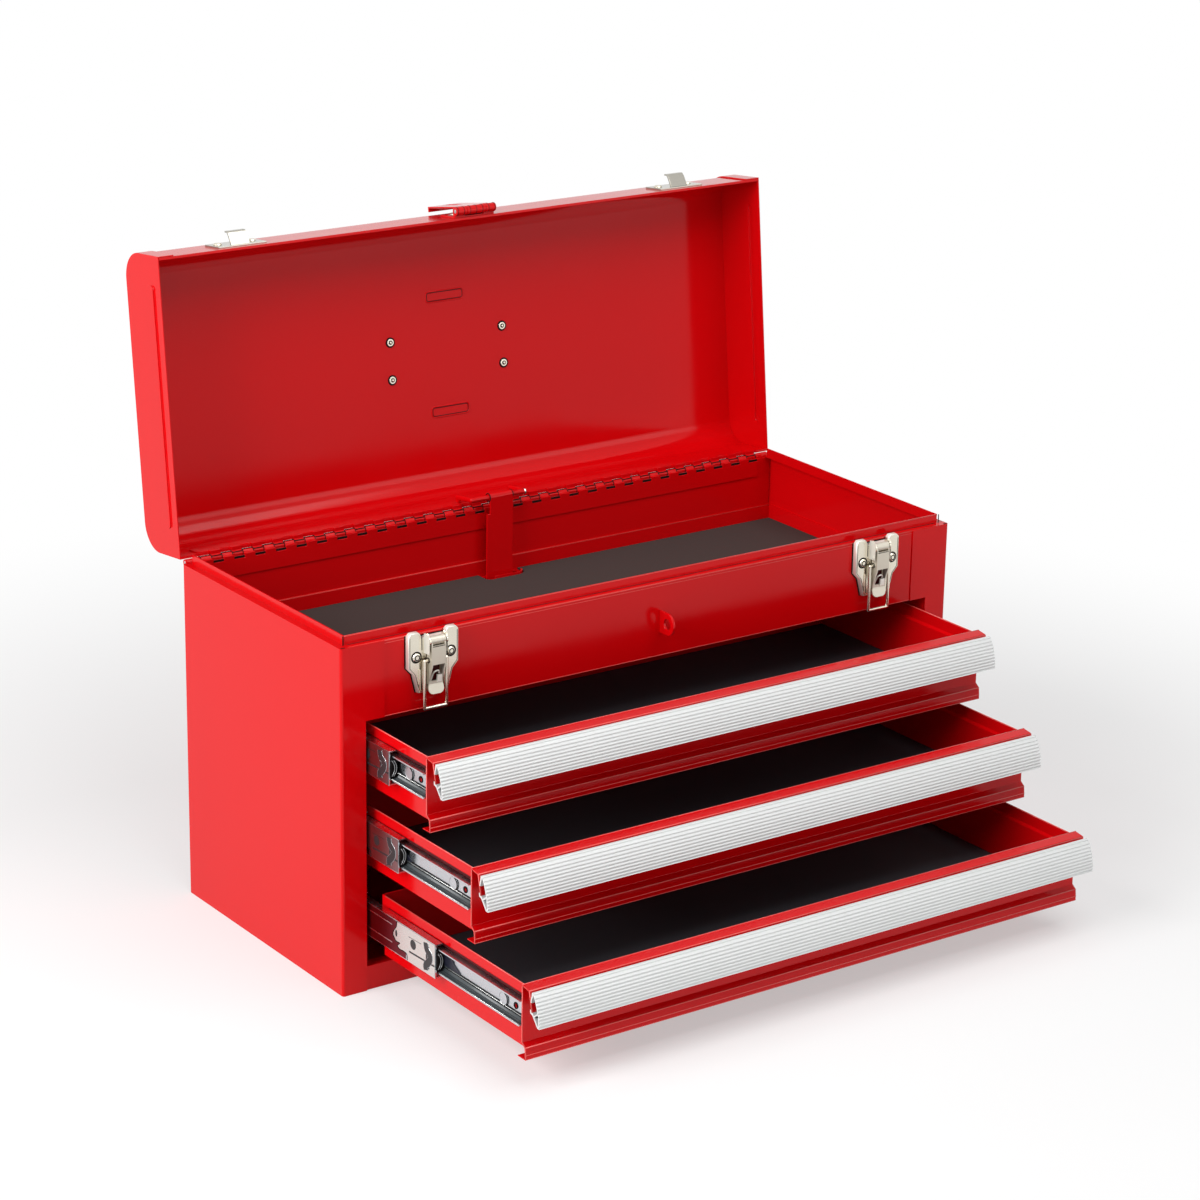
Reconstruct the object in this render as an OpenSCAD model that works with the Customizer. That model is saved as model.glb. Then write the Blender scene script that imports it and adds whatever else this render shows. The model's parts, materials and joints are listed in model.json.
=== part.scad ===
// Portable tool box: lift-up lid over a tray, and three drawers on telescopic slides.
// Millimetres. X runs along the box, -Y is the front, Z is up from the underside.
// Drawn with the lid open and the drawers pulled out in steps.

/* [Case] */
// Overall length of the case
case_w = 523; // [460:1:620]
// Overall depth of the case
case_d = 215; // [205:1:260]
// Height of the ledge that the lid closes onto
case_h = 250.5; // [246:0.5:270]
// Thickness of the case and lid sheet
sheet = 0.9; // [0.7:0.1:1.2]
// Width of the ledge round the top of the case
ledge_w = 5.9; // [5:0.1:7]
// Height of the lip that stands inside the ledge
lip_h = 6.6; // [4:0.1:9]
// Width of the side panels' front and rear returns
return_w = 19.3; // [16:0.1:24]
// Width of the front return beside the upper front panel
upper_return_w = 34; // [26:1:44]
// Outer radius of the bent vertical corners
bend_r = 2; // [1.6:0.1:3]
// Height of the bottom rail below the drawers
rail_h = 17.6; // [15:0.1:20]
// Height of the front panel above the drawers
upper_h = 54.1; // [52:0.1:60]

/* [Tray] */
// Height of the tray's upturned flange
tray_flange_h = 13; // [8:0.5:20]
// Thickness of the tray's foam liner
tray_liner_t = 1.5; // [1:0.1:3]
// Thickness of each drawer's mat
drawer_liner_t = 1.5; // [1:0.1:3]

/* [Lid] */
// Height of the lid from its rim to its top
lid_h = 50; // [44:0.5:60]
// Radius of the lid's long top edges
lid_corner_r = 20; // [10:0.5:24]
// Gap between the case's ledge and the closed lid's rim
lid_gap = 0.5; // [0.4:0.1:1]
// How far the open lid leans from closed
lid_open_angle = 96.06; // [90:0.5:100]
// How far the lid's end caps wrap over its shell
end_flange_w = 12.5; // [9:0.5:26]
// Length of the bead pressed in each end cap
end_bead_len = 167; // [120:1:180]

/* [Lid hinge] */
// Least distance from the hinge to each end of the case
hinge_end_gap = 14; // [10:0.5:30]
// Length of one knuckle with its gap
knuckle_pitch = 8.5; // [8:0.1:9]
// Radius of the hinge barrel
barrel_r = 2.3; // [2.1:0.1:2.5]
// Radius of the hinge pin
hinge_pin_r = 1.2; // [1:0.1:1.4]
// Height of each hinge leaf
leaf_h = 15; // [12:0.5:20]

/* [Drawers] */
// Gap between a drawer's front and each side of its opening
front_side_gap = 5.2; // [4:0.1:8]
// Gap between one drawer's front and the next
front_gap = 7; // [5:0.1:9]
// Gap above the top drawer's front
front_top_gap = 4.9; // [3:0.1:6]
// Gap below the lowest drawer's front
front_low_gap = 3.9; // [3:0.1:6]
// Thickness of the drawers' sheet
drawer_sheet = 0.8; // [0.6:0.1:1]
// Depth of a drawer from its face to its rear wall
drawer_depth = 174.4; // [150:0.2:178]
// How far a drawer's side walls stop above the foot of its front
drawer_side_lift = 5.4; // [4:0.1:8]
// How far the top drawer is pulled out
drawer_1_out = 66.8; // [0:0.1:181]
// How far the middle drawer is pulled out
drawer_2_out = 121; // [0:0.1:181]
// How far the bottom drawer is pulled out
drawer_3_out = 181; // [0:0.1:181]

/* [Drawer slides] */
// Length of a slide's middle member
slide_len = 178; // [150:1:180]
// Height of a slide's outer member
slide_h = 30.4; // [29:0.1:32]
// Thickness of a slide's sheet
slide_t = 1; // [0.8:0.1:1.2]
// Total thickness of a slide
slide_w = 9.8; // [9.4:0.1:10.4]
// Room for the balls between two members
ball_gap = 2.1; // [1.8:0.1:2.4]

/* [Pulls] */
// Height of a drawer's ribbed pull
pull_h = 22.5; // [20:0.5:26]
// Number of ribs on a pull
rib_count = 10; // [8:1:12]
// Depth of the grooves between the ribs
groove_depth = 0.5; // [0.2:0.1:0.6]
// How far a pull's foot stands forward of its top
pull_bulge = 7.2; // [5:0.1:9]
// Wall thickness of a pull
pull_wall = 1.3; // [1:0.1:1.5]

/* [Latches] */
// Distance of each latch's middle from the end of the case
latch_inset = 70.2; // [60:0.1:120]
// Width of a latch's base and catch
latch_w = 38.8; // [36:0.1:46]
// How far a latch's base stands off the panel
latch_base_h = 4.6; // [4.4:0.1:5]
// Radius of a latch's wire bail
wire_r = 1.1; // [0.9:0.05:1.2]
// Length of a latch's bail from its pivot to its crossbar
bail_len = 33.8; // [33:0.1:34.5]

/* [Handle] */
// Distance between the handle's two arms
handle_span = 128; // [110:1:150]
// Reach of the handle from its pivot to its grip
handle_reach = 43.5; // [38:0.5:50]
// Radius of the handle's steel bar
handle_bar_r = 3; // [2.5:0.1:3.5]
// Radius of the handle's grip
grip_r = 6; // [5:0.1:6.5]
// Distance of each handle bracket from the middle
bracket_x = 49.5; // [40:0.5:54]

/* [Hasp and lock] */
// Width of the hasp's swinging strap
hasp_w = 28; // [22:1:32]
// Length of the hasp's strap from its pivot
hasp_len = 42; // [40:0.5:44]
// How far the folded hasp leans past flat
hasp_lean = 4.7; // [0:0.1:6]
// Radius of the hole for the padlock
eye_r = 4; // [3:0.1:4.5]
// Width of the drawer lock's strap
lock_w = 23; // [18:1:28]
// Radius of the rod that lifts the drawer lock
lock_rod_r = 2; // [1.8:0.1:2.2]

/* [Hidden] */

$fn = 40;
red = "#c8171c";
dark_foam = "#3a3330";
mat_black = "#1c1c20";
nickel = "#d8d4c8";
zinc = "#b8bcc0";
aluminium = "#e4e6e4";
steel = "#9a9da0";
plastic_black = "#202022";

eps = 0.01;          // overlap that makes two shapes of one solid join
fit = 0.1;           // gap between neighbouring sheets that only nearly touch
run = 0.05;          // running clearance of a pin in its bore
half_w = case_w / 2;
half_d = case_d / 2;
opening_top = case_h - upper_h;  // top edge of the drawer opening
skin_y = half_d - sheet;        // outer face of the front and back sheets
inner_y = skin_y - sheet;       // inner face of the same sheets
inner_x = half_w - sheet;       // inner face of the side panels
panel_x = half_w - bend_r - fit;  // half the length of the sheets behind the bends
opening_x = half_w - return_w;  // half the width of the drawer opening
lip_x = half_w - ledge_w;       // outer face of the side lips
lip_y = skin_y - ledge_w + sheet;

// Lid hinge, in the closed position
hinge_y = half_d + barrel_r + fit;
hinge_z = case_h - 0.3;
leaf_y = inner_y - sheet;       // inner face of both leaves
lid_rim = case_h + lid_gap;
lid_top = lid_rim + lid_h;
rear_top = hinge_z - sheet / 2 - 0.35;   // top edge of the back panel, under the knuckles
knuckle_gap = 0.3;
knuckle_count = floor((case_w - 2 * hinge_end_gap) / (2 * knuckle_pitch));
hinge_len = 2 * knuckle_count * knuckle_pitch;
hinge_tail_x = half_w - 3;               // end of the barrel

// Pressed bead of the lid's end caps
end_bead_r = 3;
end_bead_h = 1.2;

// Tray and rails
tray_z = opening_top + sheet;   // underside of the tray floor
rail_flange = 9.6;

// Drawer slides: three nested channels, x measured from the drawer opening inwards
slide_room = 0.6;               // gap between the outer and middle members' webs
side_x = opening_x - slide_w;   // outer face of a drawer's side wall
mid_web_x = opening_x - slide_t - slide_room;  // outer face of the middle member's web
mid_h = slide_h - 2 * slide_t - 2 * ball_gap + 0.2;
inner_h = mid_h - 2 * slide_t - 2 * ball_gap - 0.2;
outer_flange = 7;
mid_flange = 5.7;
inner_flange = slide_w - 2 * slide_t - slide_room - 1;
slide_drop = 19.3;              // slide centre below the top of a drawer's side
mid_hole_y = 27;                // holes in the middle member, from its front end
mid_hole_z = 2.3;
mid_slot_y = 38;
mid_slot_w = 7;
outer_y0 = -half_d + 9.5;
outer_len = slide_len + 10;
mid_recess = 7;                 // closed middle member's front end behind the case front
inner_boss_y = 24.4;            // boss and screw hole of a drawer's member, from its front end
inner_hole_y = 10.7;
lag_2 = 15.8;                   // the middle drawer's middle member trails by this much
cage_len = 60;
cage_gap = 0.1;
bumper_y = 6.6;                 // bumper behind the middle member's front end
bumper_h = 17;
bumper_w = 5;

// Drawer fronts, forward of the face and down from the top edge
lip_reach = 8;
lip_drop = 15.5;
lip_bend = 2;
lip_slant = 3.2;                // the lip's lower edge stands this far forward of its bend
face_joggle = 3.7;
joggle_len = 2.8;
joggle_lean = 0.6;              // the face below the step still leans forward by this much
joggle_hem = 3.3;               // upright band at the front's foot
joggle_foot = 11.3;             // the forward step starts this far above the front's foot
bottom_flange = 9;
pull_top = 1.5;                 // a pull's top edge below the front's
hook_wall = 1;
claw_drop = 8.7;                // depth of the claw's tip below the drawer's top
strut_u = 0.53;
side_below_top = 1.4;           // the side walls stop this far under the front's top edge
drawer_pitch = (opening_top - rail_h - front_top_gap - front_low_gap + front_gap) / 3;
front_h = drawer_pitch - front_gap;
joggle_top = front_h - joggle_foot;
front_w = 2 * (opening_x - front_side_gap);
drawer_side_h = front_h - side_below_top - drawer_side_lift;
side_band_h = 8.5;
side_band_out = 1.6;

// Latch, measured forward of the panel's skin and up from the underside
latch_top = case_h + 1.7;
latch_x = half_w - latch_inset;
latch_shoulder = latch_top - 24.6;
latch_neck = latch_top - 29.4;
latch_foot = latch_top - 42.4;
latch_neck_w = 30;
latch_foot_w = 23.2;
latch_dip_w = 21;    // dip in the base's top edge, between its two posts
latch_dip = 4;
lever_pivot_h = 8;
lever_pivot_z = latch_top - 5.6;
lever_roll_r = 3.1;
lever_plate_low = latch_top - 22.2;
lever_tab_top = latch_top - 36.2;
lever_tab_w = 12;
lever_tab_len = 8.4;
lever_tab_inset = 4; // the tab stands back from the lever's front plate
lever_tab_lean = 14;
bail_pivot_h = latch_base_h + 1.4 + wire_r;
bail_pivot_z = latch_top - 19.6;
lever_half = 5.7;
lever_wall = 1;
ear_t = 1.2;
ear_gap = 0.3;
ear_x = lever_half + ear_gap + ear_t / 2;   // middle of an ear's sheet
latch_rib_x = 11.4;  // stiffening rib beside the lever
bail_half = lever_half + ear_gap + ear_t + 0.5 + wire_r;
lever_pin_r = 1.5;
latch_rivet_x = 13.6;
latch_rivet_z = latch_top - 16.9;
rivet_r = 2;
rivet_head_r = 3.4;
rivet_head_h = 1.3;
rivet_taper = 1;      // the head's flat top is narrower by this much
rivet_tail_r = 2.8;
rivet_tail_h = 0.8;
catch_h = 20;
catch_bottom = lid_rim + 5;
catch_top = catch_bottom + catch_h;
catch_root = 4.5;     // hook's root above the catch's lower edge
catch_rivet_z = catch_bottom + catch_h / 2 + 2;
catch_hook_half = 7.3;
catch_t = 1.2;

// Hasp, closed position
hasp_h = 5.2;
hasp_barrel_r = 3.2;
hasp_pin_r = 1.5;
hasp_t = 1.2;
hasp_leaf_top = lid_rim + 20;
hasp_rivet_x = 9;
hasp_rivet_z = hasp_leaf_top - 6;
hasp_knuckle = 8;
hasp_closed_swing = 180 + hasp_lean;
eye_h = 8.4;
eye_z = case_h - 28.5;
eye_plate_r = 8;
eye_t = 2;
eye_foot_w = 10;      // the staple's foot is welded behind the panel
eye_foot_t = 1;

// Handle on the lid's top, closed position
lid_skin_z = lid_top - sheet;
handle_axis_h = 7.3;
rest_bump_h = 1.2;
rest_half = 16.5;    // half the length of each pad under the folded handle
bracket_w = 14;
bracket_t = 1.4;
bracket_rivet_y = 14.15;
handle_z = lid_skin_z + handle_axis_h;

// Drawer lock: a strap that hangs from a rod on the lid
rod_dy = -9;         // rod from the hinge axis with the lid closed
rod_dz = -10.4;
rod_half = 23.5;
lock_t = 1.2;
lock_ring_r = 3.2;
lock_slot_left = lock_w / 2 + 1.5;    // the slot is longer on its right
lock_slot_right = lock_w / 2 + 7.5;
lock_slot_r = 2.5;
lock_rim_h = 3;      // lip that stands up round the slot's front
lock_liner_gap = 1.6;
lock_stop_half = lock_slot_right + 2;
lock_curl_in = 2.9;  // the strap is narrower at its curl
lock_curl_h = 12;
lock_reach = norm([rod_dy, rod_dz]);   // rod's distance from the hinge axis
lock_slot_front = hinge_y - lock_reach - lock_ring_r - 0.8;
lock_slot_back = hinge_y + rod_dy - lock_rod_r + 0.8;
open_rod_y = hinge_y + rod_dy * cos(lid_open_angle) + rod_dz * sin(lid_open_angle);
open_rod_z = hinge_z - rod_dy * sin(lid_open_angle) + rod_dz * cos(lid_open_angle);
lock_drop = open_rod_z - hinge_z - rod_dz;   // how far the strap sinks as the lid closes
catch_level = 14;    // drawer catch above the drawer's floor
catch_lip_h = 8;
finger_t = 1.2;
finger_gap = 5;      // closed drawer's rear wall to the lock finger, lid open
catch_lip_y = 8.6;   // catch lip behind the drawer's rear wall
lock_arm_half = 5;

function drawer_top(k) = opening_top - front_top_gap - (k - 1) * drawer_pitch;
function drawer_out(k) = [drawer_1_out, drawer_2_out, drawer_3_out][k - 1];
function face_y(k) = -half_d - drawer_out(k);
function side_top(k) = drawer_top(k) - side_below_top;
function floor_z(k) = side_top(k) - drawer_side_h;
function slide_z(k) = side_top(k) - slide_drop;
function mid_front(k) = -half_d + mid_recess + (k == 2 ? lag_2 : 0) - drawer_out(k) / 2;

module block(from, to) {
  translate(from) cube(to - from);
}

module both_sides() {
  children();
  mirror([1, 0, 0]) children();
}

// A profile drawn in (Y, Z), extruded from x0 to x1
module along_x(x0, x1) {
  translate([x0, 0, 0]) rotate([90, 0, 90]) linear_extrude(height = x1 - x0) children();
}

// A profile drawn in (X, Z), extruded from y0 to y1
module along_y(y0, y1) {
  translate([0, y1, 0]) rotate([90, 0, 0]) linear_extrude(height = y1 - y0) children();
}

module rod_x(x0, x1, y, z, r) {
  translate([x0, y, z]) rotate([0, 90, 0]) cylinder(h = x1 - x0, r = r);
}

// Moves the lid's pieces from closed to open
module open_lid() {
  translate([0, hinge_y, hinge_z]) rotate([-lid_open_angle, 0, 0])
    translate([0, -hinge_y, -hinge_z]) children();
}

// A rivet that stands on a panel facing -Y: head outside, flat tail inside
module rivet(x, z, head_y, grip) {
  translate([x, head_y, z]) rotate([-90, 0, 0]) {
    translate([0, 0, -rivet_head_h])
      cylinder(h = rivet_head_h, r1 = rivet_head_r - rivet_taper, r2 = rivet_head_r);
    translate([0, 0, -eps]) cylinder(h = grip + 2 * eps, r = rivet_r - run);
    translate([0, 0, grip]) cylinder(h = rivet_tail_h, r = rivet_tail_r);
  }
}

module rivet_hole_y(x, z) {
  translate([x, 0, z]) rotate([90, 0, 0]) cylinder(h = case_d, r = rivet_r);
}

// ---- Case ----

module round_rect(w, d, r) {
  square([w - 2 * r, d], center = true);
  square([w, d - 2 * r], center = true);
  for (sx = [-1, 1], sy = [-1, 1]) translate([sx * (w / 2 - r), sy * (d / 2 - r)]) circle(r);
}

// Plan of a side panel: its wall with a return at the front and another at the rear
module side_plan(front_return, rear_return) {
  intersection() {
    difference() {
      round_rect(case_w, case_d, bend_r);
      round_rect(case_w - 2 * sheet, case_d - 2 * sheet, bend_r - sheet);
    }
    union() {
      translate([-half_w - 1, -half_d - 1]) square([front_return + 1, half_d + 1]);
      translate([-half_w - 1, -eps]) square([rear_return + 1, half_d + 1]);
    }
  }
}

module side_panel() {
  color(red) difference() {
    union() {
      linear_extrude(height = case_h) side_plan(return_w, return_w);
      translate([0, 0, opening_top]) linear_extrude(height = case_h - opening_top)
        side_plan(upper_return_w, return_w);
      block([-half_w + sheet - eps, -inner_y + fit, case_h - sheet],
        [-lip_x + sheet, inner_y + eps, case_h]);
      block([-lip_x, -lip_y + sheet + fit, case_h - sheet], [-lip_x + sheet, leaf_y - 1, case_h + lip_h]);
    }
    // The rear return stops under the hinge
    block([-hinge_len / 2 - 0.6, leaf_y - 1 + eps, rear_top], [0, half_d + 1, case_h + 1]);
  }
}

module side_panel_left() {
  side_panel();
}

module side_panel_right() {
  mirror([1, 0, 0]) side_panel();
}

module back_panel() {
  color(red) block([-panel_x, inner_y, sheet], [panel_x, skin_y, rear_top]);
}

module base_pan() {
  x1 = panel_x;
  color(red) {
    block([-x1, -inner_y, 0], [x1, skin_y - fit, sheet]);
    block([-x1, -skin_y, 0], [x1, -inner_y + eps, rail_h]);
    block([-opening_x + 0.3, -skin_y, rail_h - sheet], [opening_x - 0.3, -skin_y + rail_flange, rail_h]);
    both_sides() block([-x1, -inner_y + 0.3, 0], [-x1 + sheet, inner_y - fit, 12]);
  }
}

module front_panel() {
  x1 = panel_x;
  ledge_x = lip_x - sheet - fit;
  color(red) difference() {
    union() {
      block([-x1, -skin_y, opening_top], [x1, -inner_y, case_h]);
      block([-ledge_x, -skin_y, case_h - sheet], [ledge_x, -lip_y, case_h]);
      block([-ledge_x, -lip_y, case_h - sheet], [ledge_x, -lip_y + sheet, case_h + lip_h]);
      block([-opening_x + 0.3, -skin_y, opening_top],
        [opening_x - 0.3, -skin_y + rail_flange, opening_top + sheet]);
    }
    for (s = [-1, 1], r = [-1, 1]) rivet_hole_y(s * latch_x + r * latch_rivet_x, latch_rivet_z);
    block([-eye_t / 2 - fit, -half_d, eye_z - eye_plate_r - fit],
      [eye_t / 2 + fit, -inner_y + 1, eye_z + eye_plate_r + fit]);
  }
}

// D-shaped slot that the lock strap drops through
module lock_slot_plan(grow) {
  x0 = -lock_slot_left - grow;
  x1 = lock_slot_right + grow;
  y0 = lock_slot_front - grow;
  depth = lock_slot_back - y0;
  r = depth - 1;
  r0 = lock_slot_r + grow;
  translate([x0 + r0, y0]) square([x1 - x0 - r0 - r, depth]);
  translate([x0, y0 + r0]) square([x1 - x0 - r, depth - r0]);
  translate([x0 + r0, y0 + r]) square([x1 - x0 - r0, depth - r]);
  translate([x0 + r0, y0 + r0]) circle(r0);
  translate([x1 - r, y0 + r]) circle(r);
}

module tray_floor() {
  x1 = inner_x - fit;
  y1 = inner_y - fit;
  top = tray_z + tray_flange_h;
  rim_x0 = -lock_w / 3;
  color(red) difference() {
    union() {
      difference() {
        block([-x1, -y1, tray_z], [x1, y1, top]);
        block([-x1 + sheet, -y1 + sheet, tray_z + sheet], [x1 - sheet, y1 - sheet, top + 1]);
      }
      translate([0, 0, tray_z]) linear_extrude(height = sheet + lock_rim_h) intersection() {
        lock_slot_plan(sheet);
        translate([rim_x0, lock_slot_front - sheet])
          square([2 * lock_slot_right, lock_slot_back - lock_slot_front - 1]);
      }
    }
    translate([0, 0, tray_z - 1]) linear_extrude(height = lock_rim_h + 4) lock_slot_plan(0);
  }
}

module tray_liner() {
  x1 = inner_x - fit - sheet - 0.4;
  y1 = inner_y - fit - sheet - 0.4;
  color(dark_foam) difference() {
    block([-x1, -y1, tray_z + sheet], [x1, y1, tray_z + sheet + tray_liner_t]);
    translate([0, 0, tray_z]) linear_extrude(height = 6) lock_slot_plan(lock_liner_gap);
    block([-lock_slot_left - lock_liner_gap, lock_slot_back - 1, tray_z],
      [lock_slot_right + lock_liner_gap, y1 + 1, tray_z + 6]);
  }
}

module slide_frames() {
  y1 = inner_y - fit;
  z0 = sheet;
  reach = opening_x + 15;
  color(red) both_sides() {
    block([-opening_x - sheet, -y1, z0], [-opening_x, y1, tray_z]);
    block([-reach, -y1, z0], [-opening_x, -y1 + sheet, tray_z]);
    block([-reach, y1 - sheet, z0], [-opening_x, y1, tray_z]);
    block([-reach, -y1, tray_z - sheet], [-opening_x, y1, tray_z]);
    block([-reach, -y1, z0], [-opening_x, y1, z0 + sheet]);
  }
}

// ---- Hinge ----

// One leaf: plate, bridge over the panel's edge, and knuckles. dir is +1 for the lid
module hinge_leaf(dir) {
  plate_t = sheet;
  cut_r = barrel_r + 0.3;
  x0 = -hinge_len / 2;
  tail_x = dir * hinge_tail_x;    // the outermost knuckle runs on towards the end of the case
  difference() {
    union() {
      if (dir > 0) block([x0, leaf_y, hinge_z - plate_t / 2], [-x0, inner_y, hinge_z + leaf_h]);
      else block([x0, leaf_y, hinge_z - leaf_h], [-x0, inner_y, hinge_z + plate_t / 2]);
      block([x0, leaf_y, hinge_z - plate_t / 2], [-x0, hinge_y, hinge_z + plate_t / 2]);
      rod_x(min(tail_x, x0), max(tail_x, -x0), hinge_y, hinge_z, barrel_r);
    }
    rod_x(-half_w, half_w, hinge_y, hinge_z, hinge_pin_r + run);
    for (i = [0:knuckle_count - 1]) {
      xc = x0 + (2 * i + (dir > 0 ? 0 : 1)) * knuckle_pitch;
      block([xc - knuckle_gap / 2, leaf_y - 1, hinge_z - cut_r],
        [xc + knuckle_pitch + knuckle_gap / 2, hinge_y + cut_r, hinge_z + cut_r]);
    }
  }
}

module hinge_leaf_case() {
  color(red) hinge_leaf(-1);
}

module hinge_leaf_lid() {
  color(red) open_lid() hinge_leaf(1);
}

module hinge_pin() {
  color(steel) rod_x(-hinge_tail_x, hinge_tail_x, hinge_y, hinge_z, hinge_pin_r);
}

// ---- Padlock staple, latches ----

module padlock_staple() {
  color(red) difference() {
    union() {
      along_x(-eye_t / 2, eye_t / 2) {
        translate([-skin_y - eye_h, eye_z]) circle(eye_plate_r);
        translate([-skin_y - eye_h, eye_z - eye_plate_r])
          square([eye_h + sheet + eye_foot_t, 2 * eye_plate_r]);
      }
      block([-eye_t / 2, -inner_y, eye_z - eye_plate_r],
        [eye_foot_w, -inner_y + eye_foot_t, eye_z + eye_plate_r]);
    }
    rod_x(-5, 5, -skin_y - eye_h - 0.4, eye_z, eye_r);
  }
}

// Front view of a latch base, in (X, Z)
module latch_outline(inset) {
  w = latch_w / 2 - inset;
  n = latch_neck_w / 2 - inset;
  f = latch_foot_w / 2 - inset;
  d = latch_dip_w / 2 + inset;
  top = latch_top - inset;
  half = [[d - 1, top - latch_dip], [d, top - latch_dip + 1], [d, top - 1.4], [d + 1.4, top], [w - 1.8, top],
    [w, top - 1.8], [w, latch_shoulder], [n, latch_neck], [f, latch_foot + inset]];
  polygon(concat(half, [for (i = [len(half) - 1:-1:0]) [-half[i][0], half[i][1]]]));
}

module latch_base(x) {
  face = -skin_y - latch_base_h;
  translate([x, 0, 0]) color(nickel) difference() {
    union() {
      difference() {
        along_y(face, -skin_y) latch_outline(0);
        along_y(face + ear_t, -skin_y + 1) latch_outline(ear_t);
      }
      for (s = [-1, 1]) {
        along_x(s * ear_x - ear_t / 2, s * ear_x + ear_t / 2)
          union() {
            translate([-skin_y - lever_pivot_h, lever_pivot_z]) circle(3.6);
            polygon([[-skin_y - lever_pivot_h, lever_pivot_z - 3.6], [face + eps, lever_pivot_z - 3.6],
              [face + eps, latch_top - 0.6], [-skin_y - lever_pivot_h + 0.9, latch_top - 0.6],
              [-skin_y - lever_pivot_h, latch_top - 1.5]]);
          }
        // sleeve that spaces the sheet off the panel round each rivet
        translate([s * latch_rivet_x, face + ear_t - eps, latch_rivet_z]) rotate([-90, 0, 0])
          cylinder(h = latch_base_h - ear_t + eps, r = rivet_r + 1.2);
      }
      // stiffening rib along each side of the lever
      for (s = [-1, 1])
        block([s * latch_rib_x - 0.6, face - 0.8, latch_foot + 2],
          [s * latch_rib_x + 0.6, face + eps, latch_shoulder - 1]);
    }
    rod_x(-20, 20, -skin_y - lever_pivot_h, lever_pivot_z, lever_pin_r);
    for (s = [-1, 1]) rivet_hole_y(s * latch_rivet_x, latch_rivet_z);
    // keeps the posts clear of the closed lid
    block([-latch_w, -skin_y - 0.5, case_h - 0.2], [latch_w, -skin_y + 1, latch_top + 1]);
  }
}

module latch_base_left() {
  latch_base(-latch_x);
}

module latch_base_right() {
  latch_base(latch_x);
}

module latch_pins() {
  w = lever_half + ear_gap + ear_t;
  color(steel) for (s = [-1, 1])
    rod_x(s * latch_x - w, s * latch_x + w, -skin_y - lever_pivot_h, lever_pivot_z, lever_pin_r - run);
}

module case_rivets() {
  color(nickel) for (s = [-1, 1], r = [-1, 1])
    rivet(s * latch_x + r * latch_rivet_x, latch_rivet_z, -skin_y - latch_base_h, latch_base_h + sheet);
}

// Lever of a latch: a roll round its pin, a front plate, and two cheeks with a finger tab between them
module latch_lever(x) {
  py = -skin_y - lever_pivot_h;
  front = py - lever_roll_r - 0.2;
  back = -skin_y - latch_base_h - 0.7;
  cheek_x = lever_half - lever_wall / 2;
  tab_y = front + lever_tab_inset;
  translate([x, 0, 0]) color(nickel) difference() {
    union() {
      rod_x(-lever_half, lever_half, py, lever_pivot_z, lever_roll_r);
      for (s = [-1, 1]) along_x(s * cheek_x - lever_wall / 2, s * cheek_x + lever_wall / 2)
        polygon([[front + 0.6, lever_pivot_z], [back, lever_pivot_z], [back, lever_tab_top - 0.6],
          [tab_y, lever_tab_top - 0.6], [tab_y, lever_tab_top + 2], [front, lever_plate_low - 1],
          [front, lever_pivot_z - lever_roll_r]]);
      block([-lever_half, front, lever_plate_low], [lever_half, front + 1.2, lever_pivot_z - lever_roll_r]);
      block([-lever_half, tab_y, lever_tab_top - 0.6], [lever_half, tab_y + 1.4, lever_tab_top + 1.4]);
      translate([0, tab_y + 0.8, lever_tab_top]) rotate([-lever_tab_lean, 0, 0])
        along_y(-0.6, 0.6) translate([0, -lever_tab_len / 2 + 0.6])
          round_rect(lever_tab_w, lever_tab_len, 3.6);
    }
    rod_x(-10, 10, py, lever_pivot_z, lever_pin_r);
    rod_x(-10, 10, -skin_y - bail_pivot_h, bail_pivot_z, wire_r + run);
  }
}

module latch_lever_left() {
  latch_lever(-latch_x);
}

module latch_lever_right() {
  latch_lever(latch_x);
}

// Wire loop that hangs from the lever and hooks over the lid's catch
module latch_bail(x) {
  y = -skin_y - bail_pivot_h;
  low = bail_pivot_z - bail_len;
  end = lever_half - lever_wall;      // the wire's ends stop inside the lever's cheeks
  translate([x, 0, 0]) color(nickel) {
    rod_x(-bail_half, bail_half, y, low, wire_r);
    for (s = [-1, 1]) {
      translate([s * bail_half, y, low]) cylinder(h = bail_len, r = wire_r);
      translate([s * bail_half, y, low]) sphere(wire_r);
      translate([s * bail_half, y, bail_pivot_z]) sphere(wire_r);
      rod_x(min(s * end, s * bail_half), max(s * end, s * bail_half), y, bail_pivot_z, wire_r);
    }
  }
}

module latch_bail_left() {
  latch_bail(-latch_x);
}

module latch_bail_right() {
  latch_bail(latch_x);
}

// ---- Lid ----

// End view of the lid in (Y, Z), taken in from its outside by inset
module lid_outline(inset, bottom) {
  r = lid_corner_r - inset;
  w = case_d / 2 - inset;
  top = lid_top - inset;
  translate([-w, bottom]) square([2 * w, top - r - bottom]);
  translate([-w + r, bottom]) square([2 * w - 2 * r, top - bottom]);
  for (s = [-1, 1]) translate([s * (w - r), top - r]) circle(r);
}

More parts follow.
